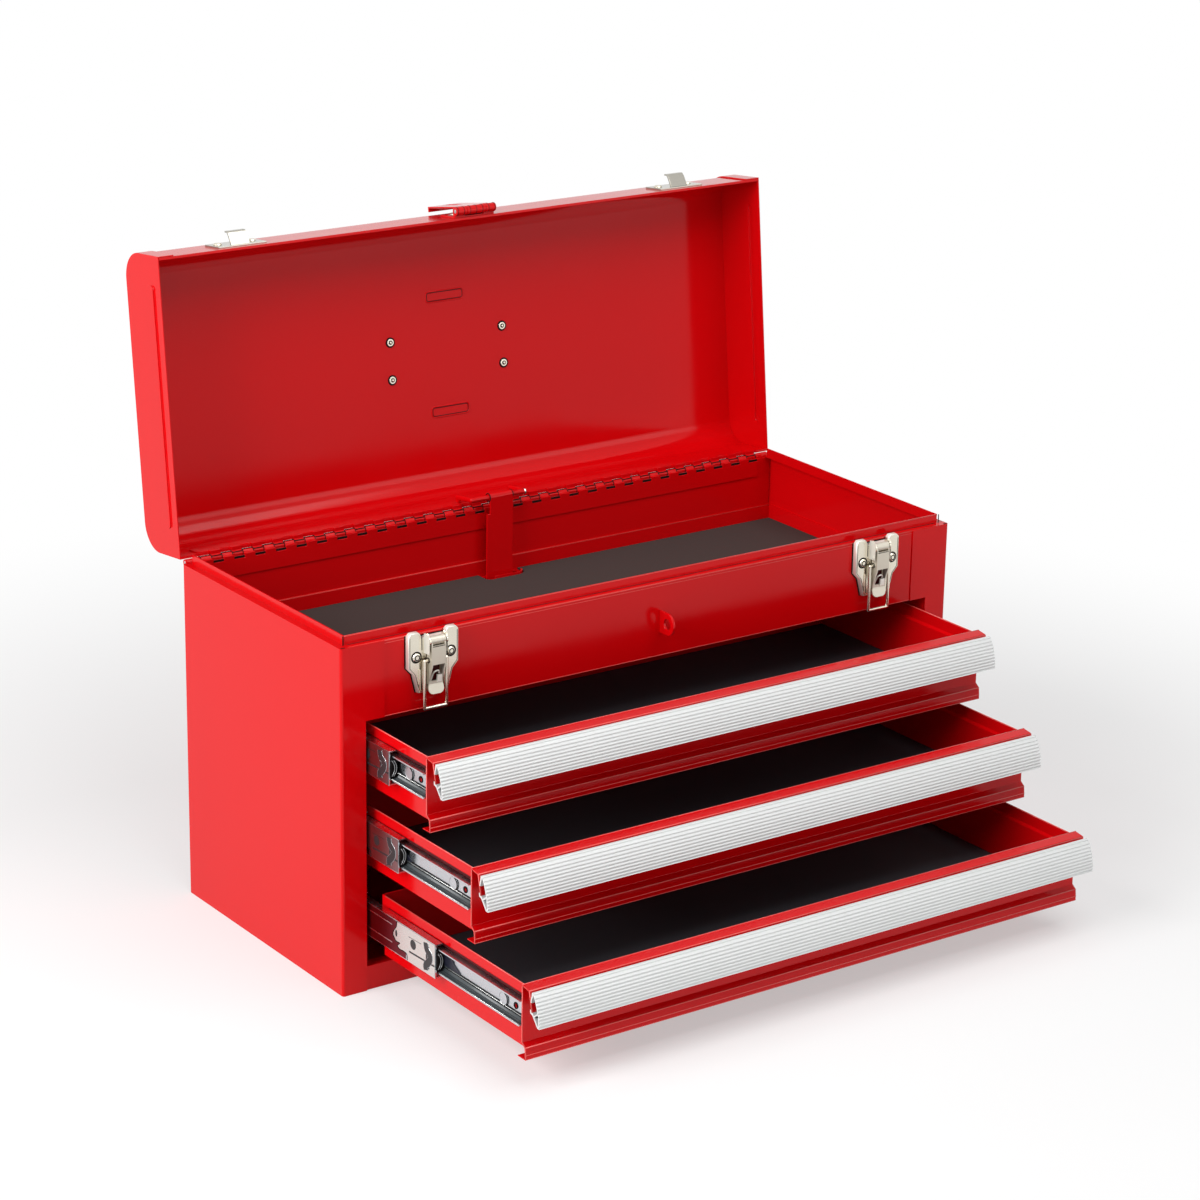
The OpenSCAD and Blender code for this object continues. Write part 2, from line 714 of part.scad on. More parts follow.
module lid_shell() {
  x1 = inner_x - fit;
  color(red) open_lid() difference() {
    union() {
      along_x(-x1, x1) difference() {
        lid_outline(sheet, lid_rim);
        lid_outline(2 * sheet, lid_rim - 1);
      }
      // hem folded back inside the front skirt
      block([-x1, -inner_y - eps, lid_rim], [x1, -inner_y + sheet, lid_rim + 9]);
      // hem folded back outside the rear skirt, between the end caps
      block([-x1 + end_flange_w, skin_y - eps, lid_rim], [x1 - end_flange_w, half_d, lid_rim + 9]);
      // pads that the folded handle rests on
      for (s = [-1, 1])
        block([-rest_half, s * handle_reach - 4, lid_skin_z - eps],
          [rest_half, s * handle_reach + 4, lid_skin_z + rest_bump_h]);
    }
    for (s = [-1, 1], r = [-1, 1]) {
      rivet_hole_y(s * latch_x + r * latch_rivet_x, catch_rivet_z);
      translate([s * bracket_x, r * bracket_rivet_y, lid_top]) cylinder(h = 8, r = rivet_r, center = true);
    }
    for (s = [-1, 1]) rivet_hole_y(s * hasp_rivet_x, hasp_rivet_z);
  }
}

// Outline of the bead that is pressed out of an end cap, in (Y, Z)
module end_bead(r) {
  bead_z = lid_rim + 12;
  translate([-end_bead_len / 2, bead_z - r]) square([end_bead_len, 2 * r]);
  for (s = [-1, 1]) translate([s * end_bead_len / 2, bead_z]) circle(r);
}

module lid_end() {
  color(red) difference() {
    union() {
      along_x(-half_w, -half_w + sheet) lid_outline(0, lid_rim);
      along_x(-half_w, -half_w + end_flange_w) difference() {
        lid_outline(0, lid_rim);
        lid_outline(sheet, lid_rim - 1);
      }
      along_x(-half_w - end_bead_h, -half_w + eps) end_bead(end_bead_r);
    }
    along_x(-half_w + sheet - end_bead_h, -half_w + sheet + 1) end_bead(end_bead_r - sheet);
  }
}

module lid_end_left() {
  open_lid() lid_end();
}

module lid_end_right() {
  open_lid() mirror([1, 0, 0]) lid_end();
}

// Catch for a latch: riveted plate with a hook that opens upwards
module lid_catch(x) {
  z0 = catch_bottom;
  root = z0 + catch_root;
  reach = bail_pivot_h + wire_r + 0.9;
  seat = bail_pivot_z + bail_len - wire_r - 0.6;
  translate([x, 0, 0]) difference() {
    union() {
      block([-latch_w / 2, -skin_y - catch_t, z0], [latch_w / 2, -skin_y, catch_top]);
      along_x(-catch_hook_half, catch_hook_half) translate([-skin_y, 0])
        polygon([[-catch_t + eps, root - 1.5], [-reach + 1, seat - 2.2], [-reach - catch_t, seat],
          [-reach - catch_t, seat + 3.4], [-reach, seat + 3.4], [-reach, seat + 0.6],
          [-reach + 1.6, seat - 0.6], [-catch_t + eps, root + 0.2]]);
    }
    for (r = [-1, 1]) rivet_hole_y(r * latch_rivet_x, catch_rivet_z);
  }
}

module lid_catches() {
  color(nickel) open_lid() for (s = [-1, 1]) lid_catch(s * latch_x);
}

module lid_rivets() {
  z = catch_rivet_z;
  color(nickel) open_lid() {
    for (s = [-1, 1], r = [-1, 1]) {
      rivet(s * latch_x + r * latch_rivet_x, z, -skin_y - catch_t, catch_t + sheet);
      // the handle's rivets, heads up
      translate([s * bracket_x, r * bracket_rivet_y, lid_skin_z + bracket_t]) {
        cylinder(h = rivet_head_h, r1 = rivet_head_r, r2 = rivet_head_r - rivet_taper);
        translate([0, 0, -bracket_t - sheet - eps])
          cylinder(h = bracket_t + sheet + 2 * eps, r = rivet_r - run);
        translate([0, 0, -bracket_t - sheet - rivet_tail_h]) cylinder(h = rivet_tail_h, r = rivet_tail_r);
      }
    }
    for (s = [-1, 1]) rivet(s * hasp_rivet_x, hasp_rivet_z, -skin_y - hasp_t, hasp_t + sheet);
  }
}

// ---- Hasp ----

module hasp_leaf() {
  y = -skin_y - hasp_h;
  w = hasp_w / 2 + 3;
  color(red) open_lid() difference() {
    union() {
      block([-w, -skin_y - hasp_t, lid_rim + 2], [w, -skin_y, hasp_leaf_top]);
      along_x(-w, w) polygon([[-skin_y - hasp_t + eps, lid_rim + 2], [-skin_y - hasp_t + eps, lid_rim + 3.4],
        [y + 1, lid_rim + hasp_barrel_r - 0.4], [y, lid_rim + hasp_barrel_r - 1.4]]);
      block([-w, y, lid_rim + 0.6], [w, -skin_y, lid_rim + 2 + eps]);
      rod_x(-w, w, y, lid_rim, hasp_barrel_r);
    }
    rod_x(-w - 1, w + 1, y, lid_rim, hasp_pin_r + run);
    block([-hasp_knuckle - 0.3, y - hasp_barrel_r - 1, lid_rim - hasp_barrel_r - 1],
      [hasp_knuckle + 0.3, -skin_y - hasp_t - eps, lid_rim + hasp_barrel_r + 1.2]);
    for (s = [-1, 1]) rivet_hole_y(s * hasp_rivet_x, hasp_rivet_z);
  }
}

module hasp_pin() {
  w = hasp_w / 2 + 3;
  color(steel) open_lid() rod_x(-w, w, -skin_y - hasp_h, lid_rim, hasp_pin_r);
}

// The strap, drawn hanging closed and then swung back over the lid
module hasp_strap() {
  y = -skin_y - hasp_h;
  inner = y + hasp_barrel_r;    // the strap leaves the barrel on the case's side
  low = lid_rim - hasp_len;
  color(red) open_lid() translate([0, y, lid_rim]) rotate([-hasp_closed_swing, 0, 0])
    translate([0, -y, -lid_rim]) difference() {
      union() {
        block([-hasp_w / 2, inner - hasp_t, low], [hasp_w / 2, inner, lid_rim - hasp_barrel_r - 0.4]);
        block([-hasp_knuckle, inner - hasp_t, lid_rim - hasp_barrel_r - 1], [hasp_knuckle, inner, lid_rim]);
        block([-hasp_w / 2, inner - 4, low], [hasp_w / 2, inner, low + hasp_t]);
        rod_x(-hasp_knuckle, hasp_knuckle, y, lid_rim, hasp_barrel_r);
      }
      rod_x(-hasp_w, hasp_w, y, lid_rim, hasp_pin_r + run);
      block([-eye_t / 2 - 1.6, inner - hasp_t - 1, eye_z - eye_plate_r - 1.2],
        [eye_t / 2 + 1.6, inner + 1, eye_z + eye_plate_r + 1.2]);
    }
}

// ---- Handle ----

module handle_brackets() {
  loop_r = handle_bar_r + run;
  color(steel) open_lid() for (s = [-1, 1]) translate([s * bracket_x, 0, 0]) difference() {
    union() {
      block([-bracket_w / 2, -bracket_rivet_y - 6, lid_skin_z],
        [bracket_w / 2, bracket_rivet_y + 6, lid_skin_z + bracket_t]);
      block([-bracket_w / 2, -loop_r - bracket_t, lid_skin_z],
        [bracket_w / 2, loop_r + bracket_t, handle_z]);
      rod_x(-bracket_w / 2, bracket_w / 2, 0, handle_z, loop_r + bracket_t);
    }
    rod_x(-bracket_w, bracket_w, 0, handle_z, loop_r);
    for (r = [-1, 1])
      translate([0, r * bracket_rivet_y, lid_skin_z]) cylinder(h = 8, r = rivet_r, center = true);
  }
}

// Swings the handle from folded flat towards the hinge to hanging straight down
module hang_handle() {
  open_lid() translate([0, 0, handle_z]) rotate([lid_open_angle - 90, 0, 0])
    translate([0, 0, -handle_z]) children();
}

module handle_bail() {
  arm = handle_span / 2;
  inner = bracket_x - bracket_w / 2;
  color(steel) hang_handle() {
    for (s = [-1, 1]) {
      rod_x(min(s * inner, s * arm), max(s * inner, s * arm), 0, handle_z, handle_bar_r);
      translate([s * arm, 0, handle_z]) sphere(handle_bar_r);
      translate([s * arm, 0, handle_z]) rotate([-90, 0, 0]) cylinder(h = handle_reach, r = handle_bar_r);
      translate([s * arm, handle_reach, handle_z]) sphere(handle_bar_r);
    }
    rod_x(-arm, arm, handle_reach, handle_z, handle_bar_r);
  }
}

module handle_grip() {
  half = handle_span / 2 - handle_bar_r - 3;
  color(plastic_black) hang_handle() difference() {
    rod_x(-half, half, handle_reach, handle_z, grip_r);
    rod_x(-half - 1, half + 1, handle_reach, handle_z, handle_bar_r + run);
  }
}

// ---- Drawer lock ----

module lock_rod() {
  y = hinge_y + rod_dy;
  z = hinge_z + rod_dz;
  up = lid_rim + 7 - z;
  color(red) open_lid() {
    rod_x(-rod_half, rod_half, y, z, lock_rod_r);
    for (s = [-1, 1]) translate([s * rod_half, y, z]) {
      sphere(lock_rod_r);
      cylinder(h = up, r = lock_rod_r);
      translate([0, 0, up]) sphere(lock_rod_r);
      translate([0, 0, up]) rotate([-90, 0, 0]) cylinder(h = leaf_y - y, r = lock_rod_r);
    }
  }
}

module lock_bar() {
  y = open_rod_y;
  z = open_rod_z;
  w = lock_w / 2;
  face = y - lock_ring_r;           // the strap hangs in front of the rod
  rear = -half_d + drawer_depth;    // rear wall of a closed drawer
  finger_y = rear + finger_gap;
  color(red) difference() {
    union() {
      rod_x(-w + lock_curl_in, w, y, z, lock_ring_r);
      block([-w + lock_curl_in, face, z - lock_curl_h - 1], [w, face + lock_t, z]);
      block([-w, face, floor_z(3) + catch_level + lock_drop], [w, face + lock_t, z - lock_curl_h]);
      block([-lock_stop_half, face, tray_z - 7], [lock_stop_half, face + lock_t, tray_z - 0.3]);
      for (k = [1:3]) {
        finger_low = floor_z(k) + catch_level + drawer_sheet + 0.8 + lock_drop;
        arm_z = finger_low + catch_lip_h;
        block([-lock_arm_half, finger_y, arm_z], [lock_arm_half, face + eps, arm_z + lock_t]);
        block([-lock_arm_half, finger_y, finger_low], [lock_arm_half, finger_y + finger_t, arm_z + eps]);
      }
    }
    rod_x(-w - 1, w + 1, y, z, lock_rod_r + run);
    // the curl round the rod is open at its end
    block([-w - 1, y + 0.5, z - 1.1], [w + 1, y + lock_ring_r + 1, z - 0.1]);
  }
}

// ---- Slides ----

// Left-hand channel in (X, Z): web at x, flanges towards the drawer (dir 1) or the case (-1)
module channel(x, h, flange, t, dir) {
  x0 = dir > 0 ? x : x - flange;
  translate([dir > 0 ? x : x - t, -h / 2]) square([t, h]);
  for (z = [-h / 2, h / 2 - t]) translate([x0, z]) square([flange, t]);
}

module slide_outer(k) {
  color(zinc) both_sides() translate([0, 0, slide_z(k)]) along_y(outer_y0, outer_y0 + outer_len)
    channel(-opening_x, slide_h, outer_flange, slide_t, 1);
}

module slide_mid(k) {
  y0 = mid_front(k);
  color(zinc) both_sides() translate([0, y0, slide_z(k)]) difference() {
    along_y(0, slide_len) channel(-mid_web_x, mid_h, mid_flange, slide_t, 1);
    translate([-mid_web_x - 1, bumper_y - 0.1, -bumper_h / 2 - 0.1])
      cube([3, bumper_w + 0.2, bumper_h + 0.2]);
    rod_x(-mid_web_x - 1, -mid_web_x + 2, mid_hole_y, mid_hole_z, 2.8);
    rod_x(-mid_web_x - 1, -mid_web_x + 2, mid_slot_y + mid_slot_w, 3.5, 2.8);
    translate([-mid_web_x - 1, mid_slot_y, -6]) cube([3, mid_slot_w, 5]);
  }
}

// Plastic stop that snaps into the slot at the middle member's front end
module slide_bumper(k) {
  color(plastic_black) both_sides()
    translate([-mid_web_x - 0.3, mid_front(k) + bumper_y, slide_z(k) - bumper_h / 2])
      cube([slide_t + 0.8, bumper_w, bumper_h]);
}

// Ball cages above and below the middle member: the outer race at its rear, the inner at its front
module slide_cage(k) {
  y0 = mid_front(k);
  outer_in = slide_h / 2 - slide_t;
  mid_out = mid_h / 2;
  mid_in = mid_h / 2 - slide_t;
  inner_out = inner_h / 2;
  color(steel) both_sides() translate([0, y0, slide_z(k)]) for (s = [-1, 1]) {
    translate([-mid_web_x, slide_len - cage_len - 2, s > 0 ? mid_out + cage_gap : -outer_in + cage_gap])
      cube([mid_flange, cage_len, outer_in - mid_out - 2 * cage_gap]);
    translate([-mid_web_x + slide_t + 0.9, 16, s > 0 ? inner_out + cage_gap : -mid_in + cage_gap])
      cube([mid_flange - slide_t - 0.9, cage_len, mid_in - inner_out - 2 * cage_gap]);
  }
}

module slide_inner(k) {
  y0 = face_y(k) + 2 * drawer_sheet;
  color(zinc) both_sides() translate([0, y0, slide_z(k)]) difference() {
    union() {
      along_y(0, drawer_depth - 8) channel(-side_x, inner_h, inner_flange, slide_t, -1);
      rod_x(-side_x - slide_t - 0.6, -side_x - slide_t + eps, inner_boss_y, 0, 4.5);
    }
    rod_x(-side_x - slide_t - 1, -side_x + 1, inner_hole_y, 0.3, 2.2);
  }
}

// ---- Drawers ----

// Side wall of the left, in (X, Z) from the floor up: an outward band along the top
module drawer_side(k) {
  z0 = floor_z(k);
  z1 = side_top(k);
  t = drawer_sheet;
  b = side_band_out;
  band_z = z1 - side_band_h;
  polygon([[-side_x, z0], [-side_x + t, z0], [-side_x + t, band_z - b], [-side_x - b + t, band_z],
    [-side_x - b + t, z1], [-side_x - b, z1], [-side_x - b, band_z], [-side_x, band_z - b]]);
}

module drawer_box(k) {
  t = drawer_sheet;
  front = face_y(k) + t;
  rear = face_y(k) + drawer_depth;
  z0 = floor_z(k);
  z1 = side_top(k);
  catch_z = z0 + catch_level;
  color(red) {
    both_sides() along_y(front, rear) drawer_side(k);
    block([-side_x, front, z0], [side_x, rear, z0 + t]);
    block([-side_x, front, z0], [side_x, front + t, z1 - 6]);
    block([-side_x, rear - t, z0], [side_x, rear, z1]);
    // catch for the drawer lock
    block([-7, rear - eps, catch_z], [7, rear + catch_lip_y + 1, catch_z + t]);
    block([-7, rear + catch_lip_y, catch_z], [7, rear + catch_lip_y + 1, catch_z + catch_lip_h]);
  }
}

// How far the front of a drawer's lip stands forward at a depth below the top
function lip_front(down) = lip_reach + lip_slant * (down - lip_bend) / (lip_drop - lip_bend);

// Front panel in (forward, down) from the top of its face
module front_profile() {
  t = drawer_sheet;
  j = face_joggle;
  h = face_joggle + joggle_lean;
  low = lip_front(lip_drop);
  polygon([[-t, 0], [lip_reach - t, -1.2], [lip_reach, -lip_bend], [low, -lip_drop], [low - t, -lip_drop],
    [lip_reach - t, -lip_bend - 0.2], [0, -1], [0, -joggle_top],
    [j, -joggle_top - joggle_len], [h, -front_h + joggle_hem], [h, -front_h],
    [h - bottom_flange, -front_h], [h - bottom_flange, -front_h + t], [h - t, -front_h + t],
    [h - t, -front_h + joggle_hem], [j - t, -joggle_top - joggle_len - t / 2], [-t, -joggle_top - t / 2]]);
}

// Places a (forward, down) profile on a drawer's face
module on_face(k) {
  translate([0, face_y(k), drawer_top(k)]) along_x(-front_w / 2, front_w / 2) mirror([1, 0]) children();
}

module drawer_front(k) {
  color(red) on_face(k) front_profile();
}

// Ribbed face of the pull: u runs from 0 at its top to 1 at its foot
function pull_bow(u) = lip_reach + 4.5 + pull_bulge * sin(90 * pow(u, 0.75));
function pull_front(i, n) = let (u = i / n, g = (i % 4 == 0 || i % 4 == 1) ? 0 : groove_depth)
  [pull_bow(u) - g, -pull_top - pull_h * u];
function pull_back(i, n) = let (u = i / n) [pull_bow(u) - pull_wall, -pull_top - pull_h * u];

module pull_profile() {
  n = 4 * rib_count;
  w = hook_wall;
  top = pull_bow(0);
  foot = -pull_top - pull_h;
  // ribbed wall
  polygon(concat([for (i = [0:n]) pull_front(i, n)], [for (i = [n:-4:0]) pull_back(i, n)]));
  // claw that bears on the front of the lip
  tip = lip_front(claw_drop);
  polygon([[top - 0.3, -pull_top], [top - 1.6, -pull_top], [tip + w, -claw_drop + 4.5],
    [tip + w / 3, -claw_drop + 2.5], [tip, -claw_drop], [tip + w, -claw_drop - 0.2],
    [tip + 1.3 * w, -claw_drop + 2.3], [tip + 2.2 * w, -claw_drop + 4.1], [top - 0.3, -pull_top - 1.6]]);
  // leg from the foot of the wall to the lip's lower edge, with a hook behind that edge
  low = lip_front(lip_drop);
  back = drawer_sheet + 0.1;
  hook = lip_front(lip_drop - 1.5) - back;
  polygon([[hook - w, -lip_drop + 1.5], [hook, -lip_drop + 1.5], [low - back, -lip_drop],
    [low + 0.8 * w, -lip_drop], [pull_bow(1) - 0.8 * w, foot], [pull_bow(1) - 2.4 * w, foot],
    [low + 0.4 * w, -lip_drop - 1.6 * w], [low - back - w, -lip_drop - 0.9 * w]]);
  // strut between the leg and the wall
  strut = [pull_bow(strut_u) - pull_wall / 2, -pull_top - pull_h * strut_u];
  polygon([[low + 1.7 * w, -lip_drop - 1.7 * w], strut, strut + [w / 3, -w],
    [low + 2.2 * w, -lip_drop - 2.7 * w]]);
}

module drawer_pull(k) {
  color(aluminium) on_face(k) pull_profile();
}

module drawer_liner(k) {
  t = drawer_sheet;
  x1 = side_x - t - 0.5;
  front = face_y(k) + 2 * t + 0.5;
  rear = face_y(k) + drawer_depth - t - 0.5;
  color(mat_black) block([-x1, front, floor_z(k) + t], [x1, rear, floor_z(k) + t + drawer_liner_t]);
}

side_panel_left();
side_panel_right();
back_panel();
base_pan();
front_panel();
tray_floor();
tray_liner();
slide_frames();
hinge_leaf_case();
hinge_pin();
padlock_staple();
latch_base_left();
latch_base_right();
case_rivets();
latch_pins();
slide_outer(1);  // slide_outer_1
slide_outer(2);  // slide_outer_2
slide_outer(3);  // slide_outer_3
lid_shell();
lid_end_left();
lid_end_right();
hinge_leaf_lid();
lid_catches();
lid_rivets();
hasp_leaf();
hasp_pin();
hasp_strap();
handle_brackets();
handle_bail();
handle_grip();
lock_rod();
lock_bar();
latch_lever_left();
latch_lever_right();
latch_bail_left();
latch_bail_right();
slide_mid(1);  // slide_mid_1
slide_mid(2);  // slide_mid_2
slide_mid(3);  // slide_mid_3
slide_bumper(1);  // slide_bumper_1
slide_bumper(2);  // slide_bumper_2
slide_bumper(3);  // slide_bumper_3
slide_cage(1);  // slide_cage_1
slide_cage(2);  // slide_cage_2
slide_cage(3);  // slide_cage_3
drawer_box(1);  // drawer_1_box
drawer_front(1);  // drawer_1_front
drawer_pull(1);  // drawer_1_pull
drawer_liner(1);  // drawer_1_liner
slide_inner(1);  // drawer_1_slides
drawer_box(2);  // drawer_2_box
drawer_front(2);  // drawer_2_front
drawer_pull(2);  // drawer_2_pull
drawer_liner(2);  // drawer_2_liner
slide_inner(2);  // drawer_2_slides
drawer_box(3);  // drawer_3_box
drawer_front(3);  // drawer_3_front
drawer_pull(3);  // drawer_3_pull
drawer_liner(3);  // drawer_3_liner
slide_inner(3);  // drawer_3_slides
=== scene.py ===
"""Portable tool box with drawers: materials, fine pieces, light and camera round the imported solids."""
import json
import math

import bmesh
import bpy
from mathutils import Matrix, Vector


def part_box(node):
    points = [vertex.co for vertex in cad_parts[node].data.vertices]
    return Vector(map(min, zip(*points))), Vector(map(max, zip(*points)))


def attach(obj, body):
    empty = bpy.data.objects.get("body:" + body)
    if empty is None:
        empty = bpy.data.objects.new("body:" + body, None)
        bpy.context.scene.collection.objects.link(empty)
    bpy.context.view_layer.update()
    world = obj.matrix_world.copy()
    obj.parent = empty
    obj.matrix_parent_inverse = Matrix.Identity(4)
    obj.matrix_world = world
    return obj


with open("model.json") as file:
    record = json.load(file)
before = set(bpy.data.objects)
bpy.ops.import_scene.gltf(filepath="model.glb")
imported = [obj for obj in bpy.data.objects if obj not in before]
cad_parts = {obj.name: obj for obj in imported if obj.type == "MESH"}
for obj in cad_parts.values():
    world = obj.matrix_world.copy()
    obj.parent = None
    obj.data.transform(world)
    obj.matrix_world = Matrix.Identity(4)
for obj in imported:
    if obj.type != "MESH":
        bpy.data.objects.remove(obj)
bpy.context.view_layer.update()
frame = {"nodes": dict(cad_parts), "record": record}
nodes = frame["nodes"]
MM = 0.001
X, Y, Z = Vector((1, 0, 0)), Vector((0, 1, 0)), Vector((0, 0, 1))


# ---------- materials ----------

RELIEF = 0.0002          # depth of a surface's fine relief, in metres


def add(tree, kind, inputs=None, **settings):
    """A new node with its settings and the values of its inputs."""
    n = tree.nodes.new(kind)
    for key, value in settings.items():
        setattr(n, key, value)
    for key, value in (inputs or {}).items():
        n.inputs[key].default_value = value
    return n


def bsdf(m):
    return m.node_tree.nodes["Principled BSDF"]


def shader(name, color, rough, metal=0.0, spec=0.5, ior=1.5):
    m = bpy.data.materials.new(name)
    m.use_nodes = True
    for key, value in (("Base Color", (*color, 1)), ("Roughness", rough), ("Metallic", metal),
                       ("Specular IOR Level", spec), ("IOR", ior)):
        bsdf(m).inputs[key].default_value = value
    return m


def noise(tree, scale, detail, stretch=None):
    """Noise in object space, in metres."""
    src = add(tree, "ShaderNodeTexCoord").outputs["Object"]
    if stretch:
        mapping = add(tree, "ShaderNodeMapping", {"Scale": stretch})
        tree.links.new(src, mapping.inputs["Vector"])
        src = mapping.outputs["Vector"]
    texture = add(tree, "ShaderNodeTexNoise", {"Scale": scale, "Detail": detail})
    tree.links.new(src, texture.inputs["Vector"])
    return texture.outputs["Fac"]


def bump(m, scale, strength, detail=2.0, stretch=None):
    """Fine relief of a surface."""
    tree = m.node_tree
    height = noise(tree, scale, detail, stretch)
    relief = add(tree, "ShaderNodeBump", {"Strength": strength, "Distance": RELIEF})
    tree.links.new(height, relief.inputs["Height"])
    tree.links.new(relief.outputs["Normal"], bsdf(m).inputs["Normal"])


def vary(m, low, high, scale):
    """Slow patches of roughness, such as handled and clean areas."""
    tree = m.node_tree
    patches = noise(tree, scale, 4.0)
    spread = add(tree, "ShaderNodeMapRange",
                 {"From Min": 0.35, "From Max": 0.65, "To Min": low, "To Max": high})
    tree.links.new(patches, spread.inputs["Value"])
    tree.links.new(spread.outputs["Result"], bsdf(m).inputs["Roughness"])


red = shader("red_powder_coat", (0.62, 0.0012, 0.0030), 0.13, ior=1.28)
bump(red, 260, 0.03, detail=1.0)
vary(red, 0.10, 0.18, 9)
foam = shader("dark_foam", (0.048, 0.036, 0.033), 0.90, spec=0.2)
bump(foam, 700, 0.25)
mat_black = shader("black_mat", (0.055, 0.058, 0.066), 0.60, spec=0.3)
bump(mat_black, 500, 0.15)
nickel = shader("bright_nickel", (0.74, 0.69, 0.58), 0.20, metal=1.0)
vary(nickel, 0.14, 0.26, 60)
zinc = shader("zinc_plate", (0.60, 0.63, 0.66), 0.26, metal=1.0)
vary(zinc, 0.20, 0.32, 70)
alu = shader("satin_aluminium", (0.66, 0.67, 0.665), 0.50, metal=0.25, spec=0.4)
bump(alu, 500, 0.03, stretch=(0.02, 1, 1))
steel = shader("steel_wire", (0.50, 0.50, 0.51), 0.32, metal=1.0)
black = shader("black_plastic", (0.018, 0.018, 0.020), 0.42, spec=0.4)
bump(black, 900, 0.08)
# near black: painted shade in gaps, cut-outs and outlines, and the own black of the slides' retainers
shade = shader("painted_shade_and_black_plastic", (0.006, 0.004, 0.004), 0.80, spec=0.1)
# dark copy of the red paint: painted shade
red_painted_shade = shader("red_paint_in_painted_shade", (0.060, 0.001, 0.002), 0.50, spec=0.2)
# lighter copy of the zinc: painted highlight
zinc_painted_highlight = shader("zinc_painted_highlight", (0.70, 0.70, 0.67), 0.24, metal=1.0)
# darker, redder copy of the zinc: painted shade and painted red reflection
zinc_painted_shade_red_reflection = shader("end_plate_zinc_painted_shade_red_reflection", (0.28, 0.17, 0.175), 0.32, metal=1.0)
# lighter copy of the nickel: painted highlight
satin_nickel_painted_highlight = shader("satin_nickel_painted_highlight", (0.80, 0.78, 0.71), 0.38, metal=0.5)
# darker copies of the nickel: painted dark reflections
catch_nickel_painted_dark_reflection = shader("catch_nickel_painted_dark_reflection", (0.44, 0.42, 0.37), 0.18, metal=1.0)
lever_nickel_painted_dark_reflection = shader("lever_nickel_painted_dark_reflection", (0.60, 0.56, 0.47), 0.42, metal=0.7)
# near-black copy of the zinc for the ball race: painted shade
race_zinc_painted_shade = shader("race_zinc_painted_shade", (0.045, 0.055, 0.060), 0.32, spec=0.6)
# dark red metal: painted shade and painted red reflection
band_painted_red_reflection = shader("band_zinc_painted_shade_red_reflection", (0.16, 0.015, 0.025), 0.30, metal=1.0)
# lighter, pinker copy of the red paint: painted highlight
edge_red_painted_highlight = shader("edge_red_painted_highlight", (0.70, 0.07, 0.06), 0.25)
# dark navy: a painted reflection on the drawers' slide members
navy_painted_reflection = shader("navy_patch_painted_reflection", (0.010, 0.011, 0.022), 0.35, spec=0.4)


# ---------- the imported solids: materials and softened edges ----------

WELD_WITHIN = 2e-6       # corners closer than this are one, in metres
FLAT_BELOW = 0.6         # faces that turn less than this become one, in degrees
EDGE_ABOVE = 28          # edges that turn more than this are rounded, in degrees
AREA_WEIGHT = 60         # above 50 the larger faces decide more of the shading


def soften(o, width, joined):
    """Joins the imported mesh's faces again, rounds its edges and shades it smoothly."""
    weld = o.modifiers.new("weld", "WELD")
    weld.merge_threshold = WELD_WITHIN
    if joined:
        flat = o.modifiers.new("flat", "DECIMATE")
        flat.decimate_type = "DISSOLVE"
        flat.angle_limit = math.radians(FLAT_BELOW)
    edge = o.modifiers.new("edge", "BEVEL")
    edge.width = width
    edge.segments = 2
    edge.limit_method = "ANGLE"
    edge.angle_limit = math.radians(EDGE_ABOVE)
    edge.miter_outer = "MITER_ARC"
    normals = o.modifiers.new("shade", "WEIGHTED_NORMAL")
    normals.keep_sharp = True
    normals.weight = AREA_WEIGHT
    if o.data.has_custom_normals:
        with bpy.context.temp_override(object=o, active_object=o, selected_objects=[o]):
            bpy.ops.mesh.customdata_custom_splitnormals_clear()
    o.data.polygons.foreach_set("use_smooth", [True] * len(o.data.polygons))


# Each slot's material and the width of its rounded edges, in millimetres
FINISH = {
    "dark_foam": (foam, 0.35),
    "black_mat": (mat_black, 0.35),
    "red_paint": (red, 0.28),
    "nickel": (nickel, 0.25),
    "zinc": (zinc, 0.22),
    "ribbed_aluminium": (alu, 0.14),
    "steel_wire": (steel, 0.2),
    "black_plastic": (black, 0.5),
}
# Solids that don't take their slot's material: the catches and levers take a darker nickel, a painted
# dark reflection
OWN_LOOK = {
    "lid_catches": catch_nickel_painted_dark_reflection,
    "latch_lever_left": lever_nickel_painted_dark_reflection,
    "latch_lever_right": lever_nickel_painted_dark_reflection,
}
slot_of = {row["node"]: row["material_slot"] for row in frame["record"]["subparts"]}
for name, o in nodes.items():
    look, edge_width = FINISH[slot_of[name]]
    o.data.materials.clear()
    o.data.materials.append(OWN_LOOK.get(name, look))
    # the tray's rim is a ring of faces, which stays as it is imported
    soften(o, edge_width * MM, name != "tray_floor")


# ---------- shapes, drawn in millimetres ----------

def add_box(bm, lo, hi):
    v = [bm.verts.new((x, y, z)) for x in (lo[0], hi[0]) for y in (lo[1], hi[1]) for z in (lo[2], hi[2])]
    for f in ((0, 1, 3, 2), (4, 6, 7, 5), (0, 4, 5, 1), (2, 3, 7, 6), (0, 2, 6, 4), (1, 5, 7, 3)):
        bm.faces.new([v[i] for i in f])


def add_sides(bm, one, two):
    """Faces between two closed rings of as many points."""
    n = len(one)
    for k in range(n):
        bm.faces.new((one[k], one[(k + 1) % n], two[(k + 1) % n], two[k]))


